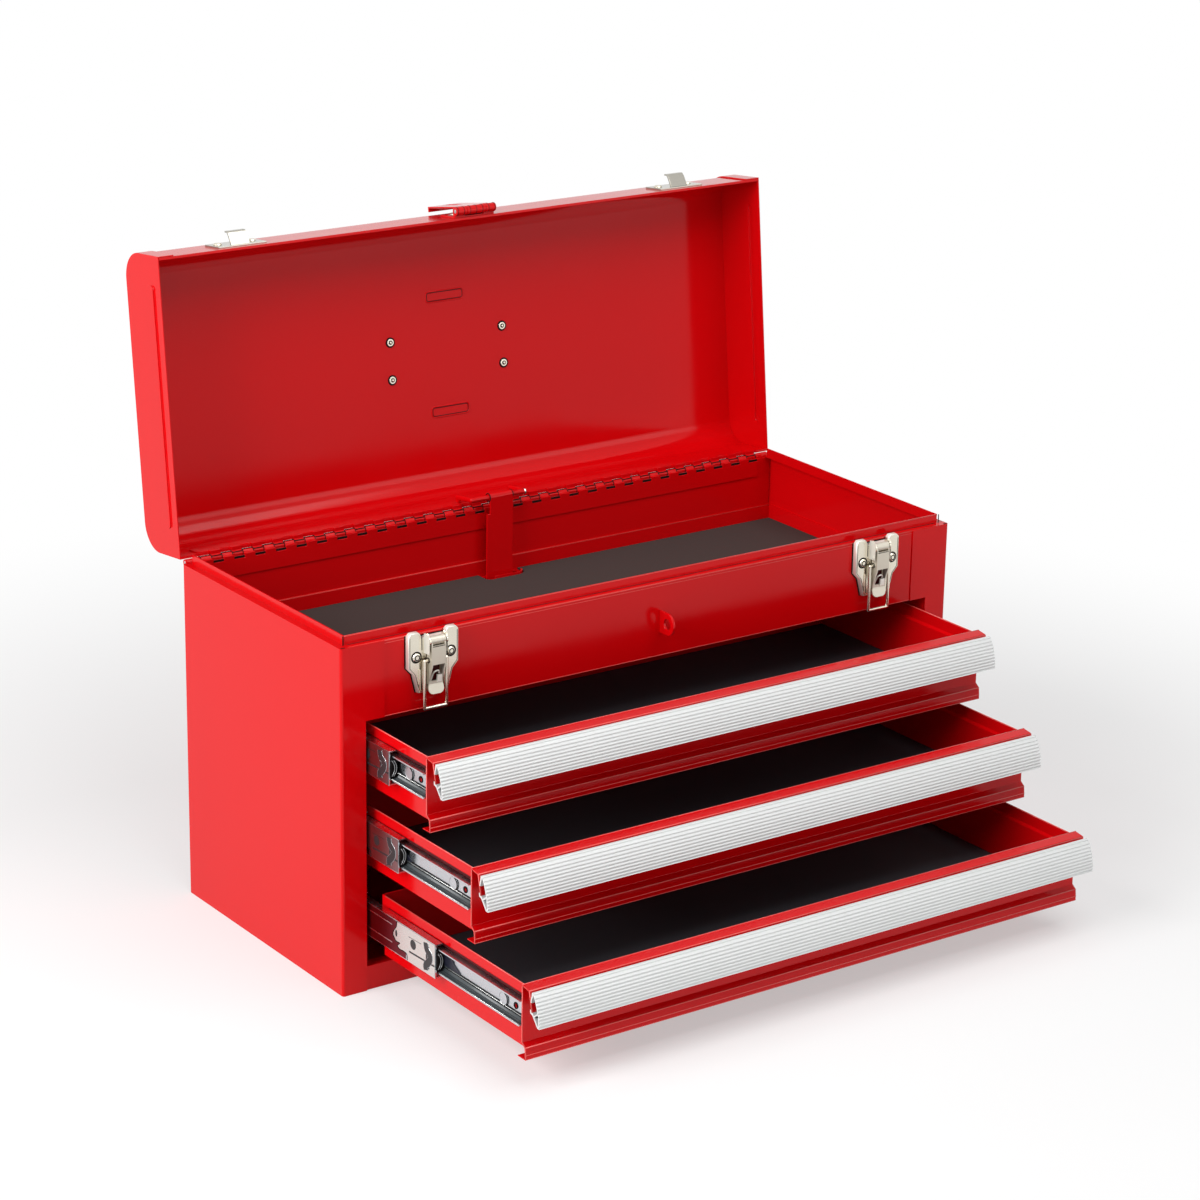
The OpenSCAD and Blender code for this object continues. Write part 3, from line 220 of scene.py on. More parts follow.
def add_tube(bm, points, r, sides=10, closed=False):
    """Round wire along points, with flat ends where it is open."""
    pts = [Vector(q) for q in points]
    n = len(pts)
    rings = []
    side = None
    for i, q in enumerate(pts):
        before = pts[i - 1] if i or closed else q
        after = pts[(i + 1) % n] if i < n - 1 or closed else q
        t = (after - before).normalized()
        if side is None:
            side = t.orthogonal().normalized()
        side = (side - t * side.dot(t)).normalized()
        other = t.cross(side)
        rings.append([bm.verts.new(q + r * (math.cos(a) * side + math.sin(a) * other))
                      for a in (2 * math.pi * k / sides for k in range(sides))])
    for one, two in list(zip(rings, rings[1:])) + ([(rings[-1], rings[0])] if closed else []):
        add_sides(bm, one, two)
    if not closed:
        bm.faces.new(rings[0])
        bm.faces.new(rings[-1])


def circle(cu, cv, r, n=24):
    turns = (2 * math.pi * k / n for k in range(n))
    return [(cu + r * math.cos(a), cv + r * math.sin(a)) for a in turns]


def add_ring(bm, centre, normal, r, wire, n=28):
    """Closed ring of wire round centre; n is its number of corners."""
    a = normal.orthogonal().normalized()
    b = normal.cross(a).normalized()
    add_tube(bm, [Vector(centre) + a * u + b * v for u, v in circle(0, 0, r, n)], wire, 8, closed=True)


def add_plate(bm, loops, place, thick):
    """Flat plate with an outline and holes, drawn in (u, v) and put at place(u, v, w)."""
    edges = []
    for loop in loops:
        v = [bm.verts.new(place(a, b, 0)) for a, b in loop]
        edges += [bm.edges.new((v[i - 1], v[i])) for i in range(len(v))]
    faces = [g for g in bmesh.ops.triangle_fill(bm, edges=edges, use_beauty=True)["geom"]
             if isinstance(g, bmesh.types.BMFace)]
    raised = bmesh.ops.extrude_face_region(bm, geom=faces)["geom"]
    step = Vector(place(0, 0, thick)) - Vector(place(0, 0, 0))
    bmesh.ops.translate(bm, verts=[g for g in raised if isinstance(g, bmesh.types.BMVert)], vec=step)


def add_prism(bm, outline, place, a, b):
    """Straight bar with an outline in (u, v), from a to b along the third axis of place(u, v, w)."""
    one = [bm.verts.new(place(u, v, a)) for u, v in outline]
    two = [bm.verts.new(place(u, v, b)) for u, v in outline]
    add_sides(bm, one, two)
    bm.faces.new(one)
    bm.faces.new(two)


def add_skirt(bm, loops):
    """Band of faces through closed loops of as many points."""
    rows = [[bm.verts.new(q) for q in loop] for loop in loops]
    for one, two in zip(rows, rows[1:]):
        add_sides(bm, one, two)


def grown(loop, d):
    """A closed outline moved outward by d, for points that run counter-clockwise."""
    out = []
    for i, b in enumerate(loop):
        a = Vector(loop[i - 1])
        c = Vector(loop[(i + 1) % len(loop)])
        b = Vector(b)
        n1 = Vector(((b - a).y, -(b - a).x)).normalized()
        n2 = Vector(((c - b).y, -(c - b).x)).normalized()
        m = (n1 + n2).normalized()
        out.append(tuple(b + m * (d / max(m.dot(n1), 0.4))))
    return out


def strip_sides(points, half):
    """The two sides of a strip of even width along a line of points."""
    left, right = [], []
    for i, (u, v) in enumerate(points):
        a = Vector(points[max(i - 1, 0)])
        b = Vector(points[min(i + 1, len(points) - 1)])
        d = (b - a).normalized()
        left.append((u - d.y * half, v + d.x * half))
        right.append((u + d.y * half, v - d.x * half))
    return left, right[::-1]


def strip(points, half):
    """Outline of the same strip."""
    left, right = strip_sides(points, half)
    return left + right


def smooth_line(points, steps):
    """Points on a Catmull-Rom curve through the given ones."""
    q = [points[0]] + list(points) + [points[-1]]
    out = []
    for i in range(1, len(q) - 2):
        p0, p1, p2, p3 = (Vector(w) for w in q[i - 1:i + 3])
        for k in range(steps):
            t = k / steps
            out.append(tuple(0.5 * (2 * p1 + (p2 - p0) * t + (2 * p0 - 5 * p1 + 4 * p2 - p3) * t ** 2
                                    + (3 * p1 - p0 - 3 * p2 + p3) * t ** 3)))
    return out + [tuple(points[-1])]


def rounded(w, h, r, n=5):
    """Rectangle of half width w and half height h with rounded corners."""
    out = []
    for sx, sy, a0 in ((1, 1, 0), (-1, 1, 90), (-1, -1, 180), (1, -1, 270)):
        for k in range(n + 1):
            a = math.radians(a0 + 90 * k / n)
            out.append((sx * (w - r) + r * math.cos(a), sy * (h - r) + r * math.sin(a)))
    return out


def piece(name, look, body, shapes, smooth=True, turn=None):
    """Makes one object of shapes and lets it ride on a body.

    A shape is one of the functions above with what it takes after the bmesh.
    """
    bm = bmesh.new()
    for draw, *values in shapes:
        draw(bm, *values)
    bmesh.ops.recalc_face_normals(bm, faces=bm.faces)
    m = Matrix.Scale(MM, 4)
    bm.transform(m if turn is None else turn @ m)
    mesh = bpy.data.meshes.new(name)
    bm.to_mesh(mesh)
    bm.free()
    o = bpy.data.objects.new(name, mesh)
    bpy.context.scene.collection.objects.link(o)
    mesh.materials.append(look)
    if smooth:
        mesh.polygons.foreach_set("use_smooth", [True] * len(mesh.polygons))
    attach(o, body)


def record_joint(name):
    return next(j for j in frame["record"]["behaviour"]["joints"] if j["name"] == name)


def corners(node):
    """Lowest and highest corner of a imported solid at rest, in millimetres."""
    lo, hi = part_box(node)
    return Vector(lo) / MM, Vector(hi) / MM


# ---------- sizes that several pieces share, in millimetres ----------

SKIN_Y = 106.6           # outer face of the front and back panels
HALF_W = 261.5           # outer face of the side panels
OPENING_X = 242.2        # side of the opening for the drawers
LEDGE = 5.0              # from the front panel's face back to its upstanding lip
LIP_H = 6.6              # height of that lip
FOOT_BACK = 4.7          # rear edge of a drawer front's foot behind its face
panel_lo, panel_hi = corners("front_panel")
ledge_z = panel_hi.z - LIP_H


# ---------- long hinge ----------

PITCH = 8.5              # length of one knuckle with its gap
BARREL_R = 2.3
CUT_DOWN = 2.55          # lower edge of a cut-out below the hinge's axis
# Painted shade lines on the knuckles: forward and up of the hinge's axis, and radius
LID_KNUCKLE_LINE = (1.75, 1.75, 0.4)
CASE_KNUCKLE_LINE = (0.4, 2.4, 0.38)
hinge_joint = record_joint("lid_hinge")
hinge_at = Vector(hinge_joint["pos_m"])
open_angle = math.radians(hinge_joint["range_deg"][1])
open_turn = Matrix.Rotation(-open_angle, 4, "X")
open_lid = Matrix.Translation(hinge_at) @ open_turn @ Matrix.Translation(-hinge_at)
axis = hinge_at / MM
hinge_x = corners("hinge_leaf_case")[1].x
back_lo, back_hi = corners("back_panel")
pairs = round(hinge_x / PITCH)
lid_knuckles = [(2 * i + 1) * PITCH - hinge_x for i in range(pairs)]

# dark plates in the cut-outs below the lid's knuckles and dark rings in the gaps between all knuckles:
# painted shade
piece("hinge_cutout_painted_shade", shade, "case",
      [(add_box, (x, back_lo.y - 0.25, axis.z - CUT_DOWN), (x + PITCH, back_lo.y, back_hi.z - 0.05))
       for x in lid_knuckles], smooth=False)
piece("hinge_gap_painted_shade", shade, "case",
      [(add_ring, (i * PITCH - hinge_x, axis.y, axis.z), X, BARREL_R + 0.06, 0.34, 16)
       for i in range(2 * pairs + 1)])


def knuckle_line(x, forward, up, r):
    y, z = axis.y - forward, axis.z + up
    return (add_tube, [(x + 0.4, y, z), (x + PITCH - 0.4, y, z)], r, 6)


piece("hinge_shade", shade, "case",
      [line for x in lid_knuckles for line in
       (knuckle_line(x, *LID_KNUCKLE_LINE), knuckle_line(x - PITCH, *CASE_KNUCKLE_LINE))])


# ---------- lid: pads pressed for the folded handle, and its rivets ----------

# These pieces are drawn on the closed lid and turned with it
PAD_Y = 43.5                       # middle of a pad from the lid's middle
PAD = (16.5, 4.0, 2.5)             # its half length, half width and corner radius
PAD_GROOVE = (15.6, 3.1, 1.7)      # the same of the dark line inside it
RIVET_X, RIVET_Y = 49.5, 14.15     # the brackets' four rivets
LID_TOP_UP = 49.0                  # inner face of the lid's top above the hinge's axis
top_in = hinge_at.z / MM + LID_TOP_UP


def pad_lines(outline, z, r, sides):
    return [(add_tube, [(u, s * PAD_Y + v, z) for u, v in rounded(*outline)], r, sides, True)
            for s in (-1, 1)]


def rivet_rings(*rings):
    """Rings round the four rivets: (below the lid's top, radius, wire)."""
    return [(add_ring, (sx * RIVET_X, sy * RIVET_Y, top_in - down), Z, r, wire)
            for sx in (-1, 1) for sy in (-1, 1) for down, r, wire in rings]


piece("lid_pad_outlines", red, "lid", pad_lines(PAD, top_in, 0.55, 8), turn=open_lid)
# dark red line inside each pad: painted shade in its groove
piece("lid_pad_groove_painted_shade", red_painted_shade, "lid",
      pad_lines(PAD_GROOVE, top_in + 0.1, 0.36, 6), turn=open_lid)
# dark rings round the rivets: painted shade
piece("lid_rivet_painted_shade", shade, "lid",
      rivet_rings((0.1, 3.3, 0.60), (0.85, 1.2, 0.42)), turn=open_lid)
piece("lid_rivet_tips", nickel, "lid", rivet_rings((1.0, 0.5, 0.5)), turn=open_lid)


# ---------- drawer slides ----------

# Outlines on the members in (u, v): u back from the member's front end, v up from its middle
NOTCH = [(47.0, 99), (47.8, 7.6), (50.6, 4.2), (52.1, 1.3), (50.6, -1.0), (47.8, -2.9), (43.5, -2.9),
         (46.4, -5.7), (43.5, -7.1), (38.6, -6.8), (34.6, -7.6), (34.0, -99)]
STOP = smooth_line([(11.2, 9.8), (10.3, 6.0), (8.0, 4.0), (5.9, 2.6),
                    (5.7, -0.2), (8.0, -3.5), (11.2, -6.5), (10.8, -9.8)], 5)
# Outline of the dark navy patch on a drawer's member, a painted reflection
REFLECTION_PATCH = [(112, 5), (91, 5), (86.5, 3.9), (85.0, 1.2), (79.6, -1.4),
         (77.3, -3.0), (79.6, -3.3), (84.5, -3.2), (91, -3.3), (112, -3.3)]
PLATE_HOLE, HOLE_R, HOLE_RIM_R = (27.0, 2.3), 2.8, 3.5
OVAL_HOLE = [(48.2 + 1.25 * a, 2.8 + 2.5 * b) for a, b in circle(0, 0, 1)]
# Dark seams beside the stop strip: line, half its width, thickness
SEAMS = (([(32.0, -4.4), (0.6, -3.4)], 0.65, 0.27), ([(32.7, 6.1), (17.0, 6.6)], 0.2, 0.25))
STOP_HALF = 2.6          # half the width of the stop strip
PLATE_FROM = 0.4         # front end of the end plate
BAND_FROM = 36.5         # front end of the band behind it, a painted red reflection of the case and painted shade
LINES_FROM, LINES_V, LINE_HALF = 53.5, (-5.6, 7.4), 0.35
BOSS_U, BOSS_R = 26.0, 4.5
EDGE_GAP, REAR_GAP = 0.6, 1        # from the member's long edges and rear end to what lies on it
# Thicknesses on the middle member, each layer a little above the one it lies over
BAND_T, PLATE_T, RIM_T, OVAL_T, LINES_T, STOP_T = 0.12, 0.22, 0.235, 0.27, 0.28, 0.46
REFLECTION_PATCH_T = 0.6
LIFT = 0.02              # distance of a layer from what it lies on

# Section of the ball race in (u, v): u outward from the drawer's member, v up from its middle
RACE = [(0.10, -3.45), (0.50, -3.7), (0.80, -4.1), (0.66, -4.5), (0.40, -4.95),
        (0.50, -5.6), (0.9, -6.4), (1.6, -7.05), (2.7, -7.55), (4.1, -7.82),
        (5.1, -7.88), (5.1, -7.98), (0.02, -7.98), (0.02, -3.45)]
# Painted highlight and painted shade lines along it: u, v and radius
RACE_RIDGES = ((0.72, -4.1, 0.17), (4.95, -7.86, 0.16))
RACE_LINES = ((0.30, -3.45, 0.26), (0.46, -5.0, 0.26), (1.75, -7.2, 0.13), (3.4, -7.74, 0.11))

WEB_IN = 233.42          # outer face of the drawer's member
HOLE_BACK, HOLE_V = 12.3, 0.3      # screw hole behind the face of the drawer's front, and its height
# Shaded strip of a drawer's side: above the member's middle, below the box's top, wall inside its rim
STRIP_V, STRIP_DOWN, RIM_W = 9.05, 7.2, 1.6
RETAINER_X = (234.65, 239.5)       # inner and outer side of the black retainer
RETAINER_Y = (-1.0, 3)             # its front and rear, from the member's front end
RETAINER_V = (-6.2, 7.9)           # its lower and upper side, from the member's middle
# Its two ribs: innermost place, distance between them, bulge at their ends and half their height
RIB_X, RIB_GAP, RIB_BULGE, RIB_HALF = 235.3, 1.5, 2.2, 5.6
RIB_V = (-5.6, -4.2, -2.8, -1.4, 0, 1.4, 2.8, 4.2, 5.6)


def dress_middle_member(k, s, side):
    """Fine pieces of slide k's middle member; s is -1 on the left and 1 on the right."""
    lo, hi = corners(f"slide_mid_{k}")
    zc = (lo.z + hi.z) / 2
    top = (hi.z - lo.z) / 2 - EDGE_GAP
    rear_u = hi.y - lo.y - REAR_GAP

    def on_web(u, v, w):
        """w goes outward from the member."""
        return (s * (hi.x + LIFT + w), lo.y + u, zc + v)

    def mid(name, look, shapes, smooth=True):
        piece(f"slide_{k}_{name}_{side}", look, f"slide_{k}", shapes, smooth)

    # end plate with its hole and the notched rear edge; its zinc is lighter on the lowest slide and
    # darker and redder on the two upper ones: painted highlight, painted shade and painted red
    # reflection
    rear = smooth_line([(u, max(-top, min(top, v))) for u, v in NOTCH], 5)
    plate = [(PLATE_FROM, -top), (PLATE_FROM, top)] + rear
    mid("end_plate", zinc_painted_highlight if k == 3 else zinc_painted_shade_red_reflection,
        [(add_plate, [plate, circle(*PLATE_HOLE, HOLE_R)], on_web, PLATE_T)], smooth=False)
    # dark stop strip with the holes and seams beside it
    mid("stop_strip", black,
        [(add_plate, [strip(STOP, STOP_HALF)], on_web, STOP_T),
         (add_plate, [circle(*PLATE_HOLE, HOLE_RIM_R)], on_web, RIM_T),
         (add_plate, [OVAL_HOLE], on_web, OVAL_T)]
        + [(add_plate, [strip(line, half)], on_web, thick) for line, half, thick in SEAMS], smooth=False)
    # band behind the plate: painted red reflection and painted shade
    band = [(BAND_FROM, -top), (rear_u, -top), (rear_u, top), (BAND_FROM, top)]
    mid("band", band_painted_red_reflection, [(add_plate, [band], on_web, BAND_T)], smooth=False)
    # dark line along the plate's notched edge: painted shade
    mid("notch_line", shade,
        [(add_tube, [on_web(u + 0.3, v, 0.2) for u, v in rear], 0.3, 6)])
    left, right = strip_sides(STOP, STOP_HALF + 0.15)
    mid("stop_edges", zinc,
        [(add_tube, [on_web(u, v, 0.3) for u, v in line], 0.15, 6) for line in (right, left)])
    # long raised lines of the middle member behind the plate
    ends = [(on_web(LINES_FROM, v - LINE_HALF, 0), on_web(rear_u, v + LINE_HALF, LINES_T))
            for v in LINES_V]
    mid("lines", zinc,
        [(add_box, tuple(map(min, a, b)), tuple(map(max, a, b))) for a, b in ends], smooth=False)
    # black retainer that closes the front end of the channel, with curved ribs on its face
    x0, x1 = sorted(s * x for x in RETAINER_X)
    y0, y1 = (lo.y + y for y in RETAINER_Y)
    z0, z1 = (zc + v for v in RETAINER_V)
    mid("retainer", shade, [(add_box, (x0, y0, z0), (x1, y1, z1))], smooth=False)
    bulge = [(RIB_BULGE * abs(v / RIB_HALF) ** 2, v) for v in RIB_V]
    mid("retainer_ribs", steel,
        [(add_tube, [(s * (RIB_X + out + u), y0 - 0.05, zc + v) for u, v in bulge], 0.24, 6)
         for out in (0.0, RIB_GAP)])


def dress_drawer_member(k, s, side):
    """Fine pieces of drawer k's member of its slide, and of the drawer's side above it."""
    mid_lo, mid_hi = corners(f"slide_mid_{k}")
    zc = (mid_lo.z + mid_hi.z) / 2
    inner_lo, inner_hi = corners(f"drawer_{k}_slides")
    face_y = corners(f"drawer_{k}_front")[1].y - FOOT_BACK
    box_lo, box_hi = corners(f"drawer_{k}_box")

    def on_inner(u, v, w):
        """w goes outward from the member."""
        return (s * (WEB_IN + w), inner_lo.y - 1.6 + u, zc + v)

    def along(u, v, w):
        """u goes outward from the member, and w along it."""
        return (s * (WEB_IN + u), w, zc + v)

    def inner(name, look, shapes, smooth=True):
        piece(f"drawer_{k}_{name}_{side}", look, f"drawer_{k}", shapes, smooth)

    # curved race along the lower edge in near-black zinc, painted shade; painted highlight and painted
    # shade lines beside it; dark navy patch, a painted reflection
    y0, y1 = inner_lo.y + 0.3, inner_hi.y - 0.5
    inner("race", race_zinc_painted_shade, [(add_prism, RACE, along, y0, y1)])
    inner("race_ridge", zinc_painted_highlight,
          [(add_tube, [along(u, v, y0), along(u, v, y1)], r, 8) for u, v, r in RACE_RIDGES])
    inner("race_lines", shade,
          [(add_tube, [along(u, v, y0), along(u, v, y1)], r, 6) for u, v, r in RACE_LINES])
    inner("release", navy_painted_reflection,
          [(add_plate, [REFLECTION_PATCH], on_inner, REFLECTION_PATCH_T)], smooth=False)
    # painted shadow round the boss, thicker on the side away from the light, and a painted shade ring
    # round the screw hole
    boss = on_inner(BOSS_U, 0, REFLECTION_PATCH_T + LIFT)
    bore = (s * (WEB_IN + 0.1), face_y + HOLE_BACK, zc + HOLE_V)
    arc = [(boss[0], boss[1] + BOSS_R * math.cos(t), boss[2] + BOSS_R * math.sin(t))
           for t in (math.radians(q) for q in range(105, 256, 10))]
    inner("boss_shadow", shade,
          [(add_tube, arc, 0.34, 6), (add_ring, bore, X, 2.0, 0.42, 20)])
    inner("boss_line", steel, [(add_ring, boss, X, BOSS_R, 0.16)])
    # shaded strip of the drawer's side between its member and the band along its top
    wall = box_hi.x - RIM_W
    low, high = zc + STRIP_V, box_hi.z - STRIP_DOWN
    shell = [(wall + 0.02, low), (wall + 0.10, low), (wall + 1.72, box_hi.z - 8.6),
             (wall + 1.72, high), (wall + 1.58, high), (wall + 1.58, box_hi.z - 8.55)]
    y0, y1 = box_lo.y + 0.5, inner_hi.y - 2
    inner("side_shade", red_painted_shade,
          [(add_prism, shell, lambda u, v, w: (s * u, w, v), y0, y1)], smooth=False)


for k in (1, 2, 3):
    for s, side in ((-1, "left"), (1, "right")):
        dress_middle_member(k, s, side)
        dress_drawer_member(k, s, side)


# ---------- rounded bends of the sheet metal, which catch the light as fine lines, in a lighter red: painted highlight ---

# Section of a drawer's front: the step's upper end above its foot, the step's height, how far the
# step stands before the upper face, and the same of the hem
STEP_Z, STEP_H, STEP_OUT, HEM_Z, HEM_OUT = 11.3, 2.8, 3.7, 3.3, 4.3
LIP_TOP, LIP_LOW = (8.0, 2.0), (11.2, 15.5)      # its slanted lip: before the face, below the top
SIDE_EDGE = 170          # rear end of the bright edge along a drawer's side, from the box's front


def drawer_bends(k):
    lo, hi = corners(f"drawer_{k}_front")
    box_lo, box_hi = corners(f"drawer_{k}_box")
    face = hi.y - FOOT_BACK
    height = hi.z - lo.z
    x = hi.x - 0.1

    def at(x, forward, down):
        return (x, face - forward, hi.z - down)

    # lines along the front: before the face, below the top, and radius
    step_low = height - STEP_Z + STEP_H
    lines = ((-0.35, 0.42, 0.5), (LIP_TOP[0] - 0.55, LIP_TOP[1] - 0.02, 0.55),
             (STEP_OUT - 0.45, step_low + 0.2, 0.52),
             (HEM_OUT - 0.42, height - HEM_Z, 0.5), (HEM_OUT - 0.42, height - 0.42, 0.5))
    # lines down its two ends: before the face, below the top
    profile = ((-0.4, 1.2), (-0.4, height - STEP_Z), (STEP_OUT - 0.4, step_low),
               (HEM_OUT - 0.4, height - HEM_Z), (HEM_OUT - 0.4, height - 0.5))
    lip = ((LIP_TOP[0] - 0.4, LIP_TOP[1]), (LIP_LOW[0] - 0.4, LIP_LOW[1]))
    roof = ((-0.4, 0.5), (LIP_TOP[0] - 0.6, LIP_TOP[1] - 0.2))
    shapes = [(add_tube, [at(-x, f, d), at(x, f, d)], r, 12) for f, d, r in lines]
    for s in (-1, 1):
        shapes += [(add_tube, [at(s * (x - 0.3), f, d) for f, d in line], 0.46, 10)
                   for line in (profile, lip, roof)]
        edge_x, edge_z = s * (box_hi.x - 0.4), box_hi.z - 0.38
        edge = [(edge_x, box_lo.y + 0.6, edge_z), (edge_x, box_lo.y + SIDE_EDGE, edge_z)]
        shapes.append((add_tube, edge, 0.46, 10))
    piece(f"drawer_{k}_bends", edge_red_painted_highlight, f"drawer_{k}", shapes)


for k in (1, 2, 3):
    drawer_bends(k)

panel_x = panel_hi.x - 4.5
panel_lines = ((LEDGE + 0.45, panel_hi.z - 0.42, 0.5), (0.42, ledge_z - 0.42, 0.5),
               (0.30, ledge_z - 2.2, 0.36), (0.42, panel_lo.z + 0.42, 0.5))
piece("front_panel_bends", edge_red_painted_highlight, "case",
      [(add_tube, [(-panel_x, panel_lo.y + back, z), (panel_x, panel_lo.y + back, z)], r, 12)
       for back, z, r in panel_lines])


# ---------- painted shade in the seams between the bottom rail, the front panel and the case's front returns ---

def upright(x, half, out, z0, z1):
    """Thin bar of painted shade on the front face."""
    return (add_box, (x - half, -SKIN_Y - out, z0), (x + half, -SKIN_Y + 0.4, z1))


rail_top = corners("base_pan")[1].z
seam_shade = [bar for s in (-1, 1) for bar in
         (upright(s * OPENING_X, 0.2, 0.06, 0.6, rail_top - 0.3),
          upright(s * (panel_hi.x + 0.05), 0.3, 0.06, panel_lo.z + 0.4, ledge_z - 0.5))]
# painted shade in the corner under the front panel's lip
lip_x, lip_y, lip_z = panel_x - 2, panel_lo.y + LEDGE - 0.05, ledge_z + 0.12
seam_shade.append((add_tube, [(-lip_x, lip_y, lip_z), (lip_x, lip_y, lip_z)], 0.22, 6))
piece("case_seam_painted_shade", red_painted_shade, "case", seam_shade, smooth=False)

# painted shade in the gaps at the two upper corners: up the end of the lip, and outward from there
lip_end, lip_face = HALF_W - LEDGE - 0.3, -SKIN_Y + LEDGE - 0.2
corner_y, corner_z = -SKIN_Y + 0.3, ledge_z + 0.05
corner_shade = [(add_tube, line, 0.4, 6) for s in (-1, 1) for line in
        ([(s * lip_end, lip_face, ledge_z + 0.2), (s * lip_end, lip_face, panel_hi.z - 0.2)],
         [(s * (HALF_W - 0.9), corner_y, corner_z), (s * (HALF_W - 4.1), corner_y, corner_z)])]
piece("case_corner_painted_shade", shade, "case", corner_shade, smooth=False)


# ---------- lock: painted shade rings at the strap's curl, and a painted highlight at the rod's end ---

CURL_R, ROD_R, CURL_ENDS = 3.2, 2.0, (-8.6, 11.5)
pivot = Vector(record_joint("lock_pivot")["pos_m"]) / MM
rod_end = corners("lock_rod")[1].x - ROD_R       # the rod's bent leg has its middle here
piece("lock_curl_painted_shade", shade, "lock",
      [(add_ring, (x, pivot.y, pivot.z), X, CURL_R - 0.1, 0.4, 18) for x in CURL_ENDS])
piece("lock_rod_painted_highlight", zinc_painted_highlight, "lid",
      [(add_ring, (rod_end, pivot.y, pivot.z), X, ROD_R - 0.3, 0.75, 18)])


# ---------- hasp: painted shade in the gaps between the knuckles of its barrel ---

HASP_BARREL_R, HASP_GAPS = 3.2, 7
pin_lo, pin_hi = corners("hasp_pin")
pin_mid = (pin_lo + pin_hi) / 2
gap_step = (pin_hi.x - pin_lo.x - 2.0) / (HASP_GAPS - 1)
piece("hasp_knuckle_painted_shade", shade, "lid",
      [(add_ring, (pin_lo.x + 1.0 + gap_step * i, pin_mid.y, pin_mid.z), X, HASP_BARREL_R, 0.22, 18)
       for i in range(HASP_GAPS)])


# ---------- latches ----------

# Half of the base's outline: out from its middle, and up from its top
LATCH_HALF = [(9.5, -4.0), (10.5, -3.0), (10.5, -1.4), (11.9, 0.0), (17.6, 0.0),
              (19.4, -1.8), (19.4, -24.6), (15.0, -29.4), (11.6, -42.4)]
# Flange round the base: how far out of the outline, and how far behind the base's face
FLANGE = ((-0.3, -0.04), (0.02, 0.05), (0.2, 0.9), (0.3, 2.3), (0.3, 3.8))
# Section of an ear: out from the middle, and before the base's face
EAR = [(7.2, 0), (7.75, 0), (7.45, 3.2), (7.3, 6.2), (7.2, 6.2)]
EAR_V = (-14.6, -0.9)    # its lower and upper end, up from the top
FACE_RISE = 4.6          # face of a latch base in front of the case's skin
RIVET_OUT, RIVET_DOWN = 13.6, 16.9
RIVET_RINGS = ((0.02, 3.75, 0.42), (1.15, 1.7, 0.45))    # before the face, radius, wire
WIRE_OUT, WIRE_Y, WIRE_DOWN = 5.75, -113.7, 19.6     # pivots of the wire loop
# Painted shade in the opening behind the lever: its lower left and upper right, as (right of the middle,
# before the face, up from the top)
WELL = ((-4.6, 0.12, -40.5), (4.6, 0, -20.5))
# Painted shade lines on the base: points (out from the middle, up from the top), before the face, radius
BASE_LINES = (
    (((9.4, -1.6), (9.2, -12.6)), 0.05, 0.3),
    (((10.9, -21.4), (9.6, -40.4)), 0.05, 0.24),
    (((18.7, -2.8), (18.7, -24.2), (14.5, -29.0), (11.3, -40.5)), 0.02, 0.2))
# Bent tongue behind the lever's window and the two corners of its foot, in the same way
TONGUE = ((-3.6, 1.4, -35.8), (-2.7, 2.6, -30.7), (-1.9, 3.6, -28.3),
          (-0.2, 4.0, -27.4), (1.6, 3.8, -27.8), (2.3, 3.4, -29.6))
TONGUE_FOOT = ((0.7, 3.9, -35.6), (4.3, 2.4, -30.6))
# Painted shade lines of the lever: down its sides and below its roll, behind its front and up from the
# top
LEVER_SIDE_X, LEVER_SIDE = 5.0, ((0.4, -9.6), (1.1, -18.6))
ROLL_HALF, ROLL_BACK, ROLL_V = 4.8, 0.05, -9.3


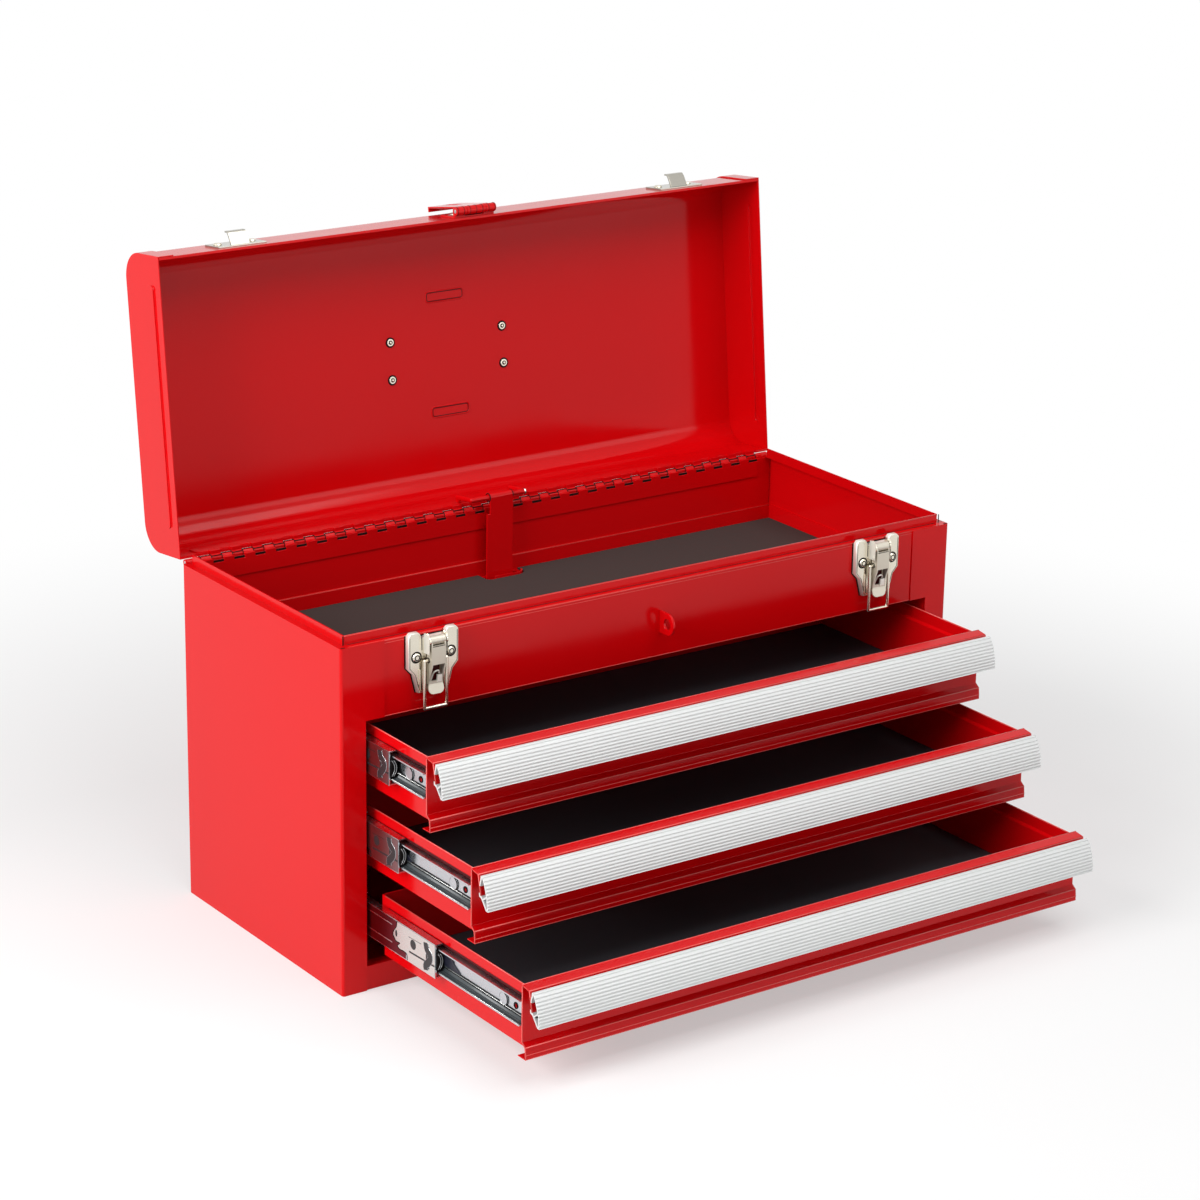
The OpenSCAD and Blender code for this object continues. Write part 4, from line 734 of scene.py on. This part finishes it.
def dress_latch(side):
    lo, hi = corners(f"latch_base_{side}")
    lever_y = corners(f"latch_lever_{side}")[0].y
    xc = (lo.x + hi.x) / 2
    top = hi.z
    face_y = -SKIN_Y - FACE_RISE
    outline = [(xc - u, top + v) for u, v in LATCH_HALF]
    outline += [(xc + u, top + v) for u, v in LATCH_HALF[::-1]]

    def at(x, out, v):
        return (xc + x, face_y - out, top + v)

    def on_base(name, look, shapes, smooth=True):
        piece(f"latch_{side}_{name}", look, "case", shapes, smooth)

    def on_lever(name, look, shapes, smooth=True):
        piece(f"latch_{side}_{name}", look, f"lever_{side}", shapes, smooth)

    # flange round the base in the lighter nickel: painted highlight
    flange = [[(u, face_y + behind, v) for u, v in grown(outline, d)] for d, behind in FLANGE]
    on_base("flange", satin_nickel_painted_highlight, [(add_skirt, flange)])
    # painted shadow where the flange meets the case
    rim = [(u, min(v, ledge_z - 0.3)) for u, v in grown(outline, 1.0)]
    on_base("contact_painted_shadow", shade,
            [(add_prism, rim, lambda u, v, w: (u, w, v), -SKIN_Y - 0.12, -SKIN_Y + 0.2)], smooth=False)
    # bright outer faces of the two ears: painted highlight
    on_base("ears_painted_highlight", satin_nickel_painted_highlight,
            [(add_prism, EAR, lambda u, out, w, s=s: at(s * u, out, w), *EAR_V) for s in (-1, 1)],
            smooth=False)
    # painted shade rings round the rivets and painted shade lines down the base
    dark = []
    for s in (-1, 1):
        dark += [(add_ring, at(s * RIVET_OUT, out, -RIVET_DOWN), Y, r, wire)
                 for out, r, wire in RIVET_RINGS]
        dark += [(add_tube, [at(s * u, out, v) for u, v in line], r, 6) for line, out, r in BASE_LINES]
    on_base("rivet_rings", shade, dark)
    # the base's opening behind the lever, filled with painted shade, with the bent tongue in it
    on_base("red_painted_shade", red_painted_shade, [(add_box, at(*WELL[0]), at(*WELL[1]))], smooth=False)
    tongue = smooth_line([at(*q) for q in TONGUE], 5)
    on_lever("tongue", satin_nickel_painted_highlight, [(add_tube, tongue, 0.6, 10)])
    on_lever("tongue_foot", satin_nickel_painted_highlight,
             [(add_box, at(*TONGUE_FOOT[0]), at(*TONGUE_FOOT[1]))], smooth=False)
    # painted shade lines of the lever: round the wire's pivots, along its sides and below the roll
    dark = []
    for s in (-1, 1):
        edge = [(xc + s * LEVER_SIDE_X, lever_y + back, top + v) for back, v in LEVER_SIDE]
        dark.append((add_ring, (xc + s * WIRE_OUT, WIRE_Y, top - WIRE_DOWN), X, 1.7, 0.28))
        dark.append((add_tube, edge, 0.26, 6))
    roll = [(xc + x, lever_y + ROLL_BACK, top + ROLL_V) for x in (-ROLL_HALF, ROLL_HALF)]
    dark.append((add_tube, roll, 0.28, 6))
    on_lever("lever_painted_shade_lines", shade, dark)


for side in ("left", "right"):
    dress_latch(side)


# ---------- tray: hem along the top of its rear flange, in a lighter red: painted highlight ---

tray_hi = corners("tray_floor")[1]
hem_y, hem_z = tray_hi.y - 0.45, tray_hi.z - 0.4
piece("tray_hem", edge_red_painted_highlight, "case",
      [(add_tube, [(1 - tray_hi.x, hem_y, hem_z), (tray_hi.x - 1, hem_y, hem_z)], 0.5, 12)])


# ---------- stage, light, camera ----------

def area(name, place, aim, w, h, power):
    lamp = bpy.data.lights.new(name, "AREA")
    lamp.shape = "RECTANGLE"
    lamp.size = w
    lamp.size_y = h
    lamp.energy = power
    o = bpy.data.objects.new(name, lamp)
    o.location = place
    o.rotation_euler = (Vector(aim) - Vector(place)).to_track_quat("-Z", "Y").to_euler()
    bpy.context.scene.collection.objects.link(o)


def background_rays(tree):
    """1 on the rays that see a white background: from the camera, off gloss and through glass."""
    path = add(tree, "ShaderNodeLightPath")
    most = path.outputs["Is Camera Ray"]
    for ray in ("Is Glossy Ray", "Is Transmission Ray"):
        larger = add(tree, "ShaderNodeMath", operation="MAXIMUM")
        tree.links.new(most, larger.inputs[0])
        tree.links.new(path.outputs[ray], larger.inputs[1])
        most = larger.outputs[0]
    return most


def blend_shaders(tree, factor, one, two, surface):
    mix = add(tree, "ShaderNodeMixShader")
    tree.links.new(factor, mix.inputs[0])
    tree.links.new(one.outputs[0], mix.inputs[1])
    tree.links.new(two.outputs[0], mix.inputs[2])
    tree.links.new(mix.outputs[0], surface)


WHITE = (1, 1, 1, 1)
AMBIENT = 0.22           # strength of the white world as a light
FLOOR_HALF, FLOOR_Z = 6, -0.0002       # half its size, and its place just below the feet, in metres
NEAR_WHITE = 0.45        # the background's share in the floor near the object
SHADOW_TO, WHITE_FROM = 0.42, 0.95     # from here to there it rises to 1, in metres from the middle
area("key_left", (-2.2, -0.25, 1.35), (-0.2, 0, 0.15), 1.5, 1.5, 58)
area("top_box", (0.1, -0.9, 1.9), (0, 0, 0.2), 1.8, 1.2, 21)
area("front_fill", (1.3, -2.3, 0.8), (0, 0, 0.2), 1.2, 0.9, 5)

world = bpy.data.worlds.new("studio")
bpy.context.scene.world = world
world.use_nodes = True
wt = world.node_tree
wt.nodes.clear()
lit = add(wt, "ShaderNodeBackground", {"Color": WHITE, "Strength": AMBIENT})
seen = add(wt, "ShaderNodeBackground", {"Color": WHITE, "Strength": 1.0})
blend_shaders(wt, background_rays(wt), lit, seen, add(wt, "ShaderNodeOutputWorld").inputs["Surface"])

# The floor takes the object's shadow near it and turns into the white background further out
floor_mat = shader("pale_floor", (0.90, 0.90, 0.90), 0.8, spec=0.1)
ft = floor_mat.node_tree
white = add(ft, "ShaderNodeEmission", {"Color": WHITE, "Strength": 1.0})
place = add(ft, "ShaderNodeTexCoord")
far = add(ft, "ShaderNodeVectorMath", operation="LENGTH")
fade = add(ft, "ShaderNodeMapRange", interpolation_type="SMOOTHSTEP",
           inputs={"From Min": SHADOW_TO, "From Max": WHITE_FROM, "To Min": NEAR_WHITE})
share = add(ft, "ShaderNodeMath", operation="MULTIPLY")
ft.links.new(place.outputs["Object"], far.inputs[0])
ft.links.new(far.outputs["Value"], fade.inputs["Value"])
ft.links.new(background_rays(ft), share.inputs[0])
ft.links.new(fade.outputs["Result"], share.inputs[1])
floor_out = ft.nodes["Material Output"].inputs["Surface"]
blend_shaders(ft, share.outputs[0], bsdf(floor_mat), white, floor_out)
bm = bmesh.new()
bmesh.ops.create_grid(bm, x_segments=1, y_segments=1, size=FLOOR_HALF)
floor_mesh = bpy.data.meshes.new("floor")
bm.to_mesh(floor_mesh)
bm.free()
floor = bpy.data.objects.new("floor", floor_mesh)
floor.location = (0, 0, FLOOR_Z)
floor_mesh.materials.append(floor_mat)
bpy.context.scene.collection.objects.link(floor)

# Camera: azimuth, elevation and roll in radians, place in metres, focal length in the photo's pixels
AZ, EL, ROLL = -0.6172766, 0.3248480, 0.0173074
CAMERA_AT = (-1.3891288, -1.9898363, 1.0248642)
FOCAL_PX, PHOTO_PX, SENSOR = 3530.45, 1200, 36
away = Vector((math.sin(AZ) * math.cos(EL), -math.cos(AZ) * math.cos(EL), math.sin(EL)))
level = (-away).cross(Z).normalized()
above = level.cross(-away)
cam_x = math.cos(ROLL) * level + math.sin(ROLL) * above
cam_y = -math.sin(ROLL) * level + math.cos(ROLL) * above
cam = bpy.data.objects.new("camera", bpy.data.cameras.new("camera"))
cam.data.sensor_width = SENSOR
cam.data.lens = FOCAL_PX / PHOTO_PX * SENSOR
cam.data.clip_start = 0.05
cam.data.clip_end = 50
cam.matrix_world = Matrix.Translation(CAMERA_AT) @ Matrix((cam_x, cam_y, away)).transposed().to_4x4()
bpy.context.scene.collection.objects.link(cam)
bpy.context.scene.camera = cam
bpy.context.scene.view_settings.view_transform = "Standard"
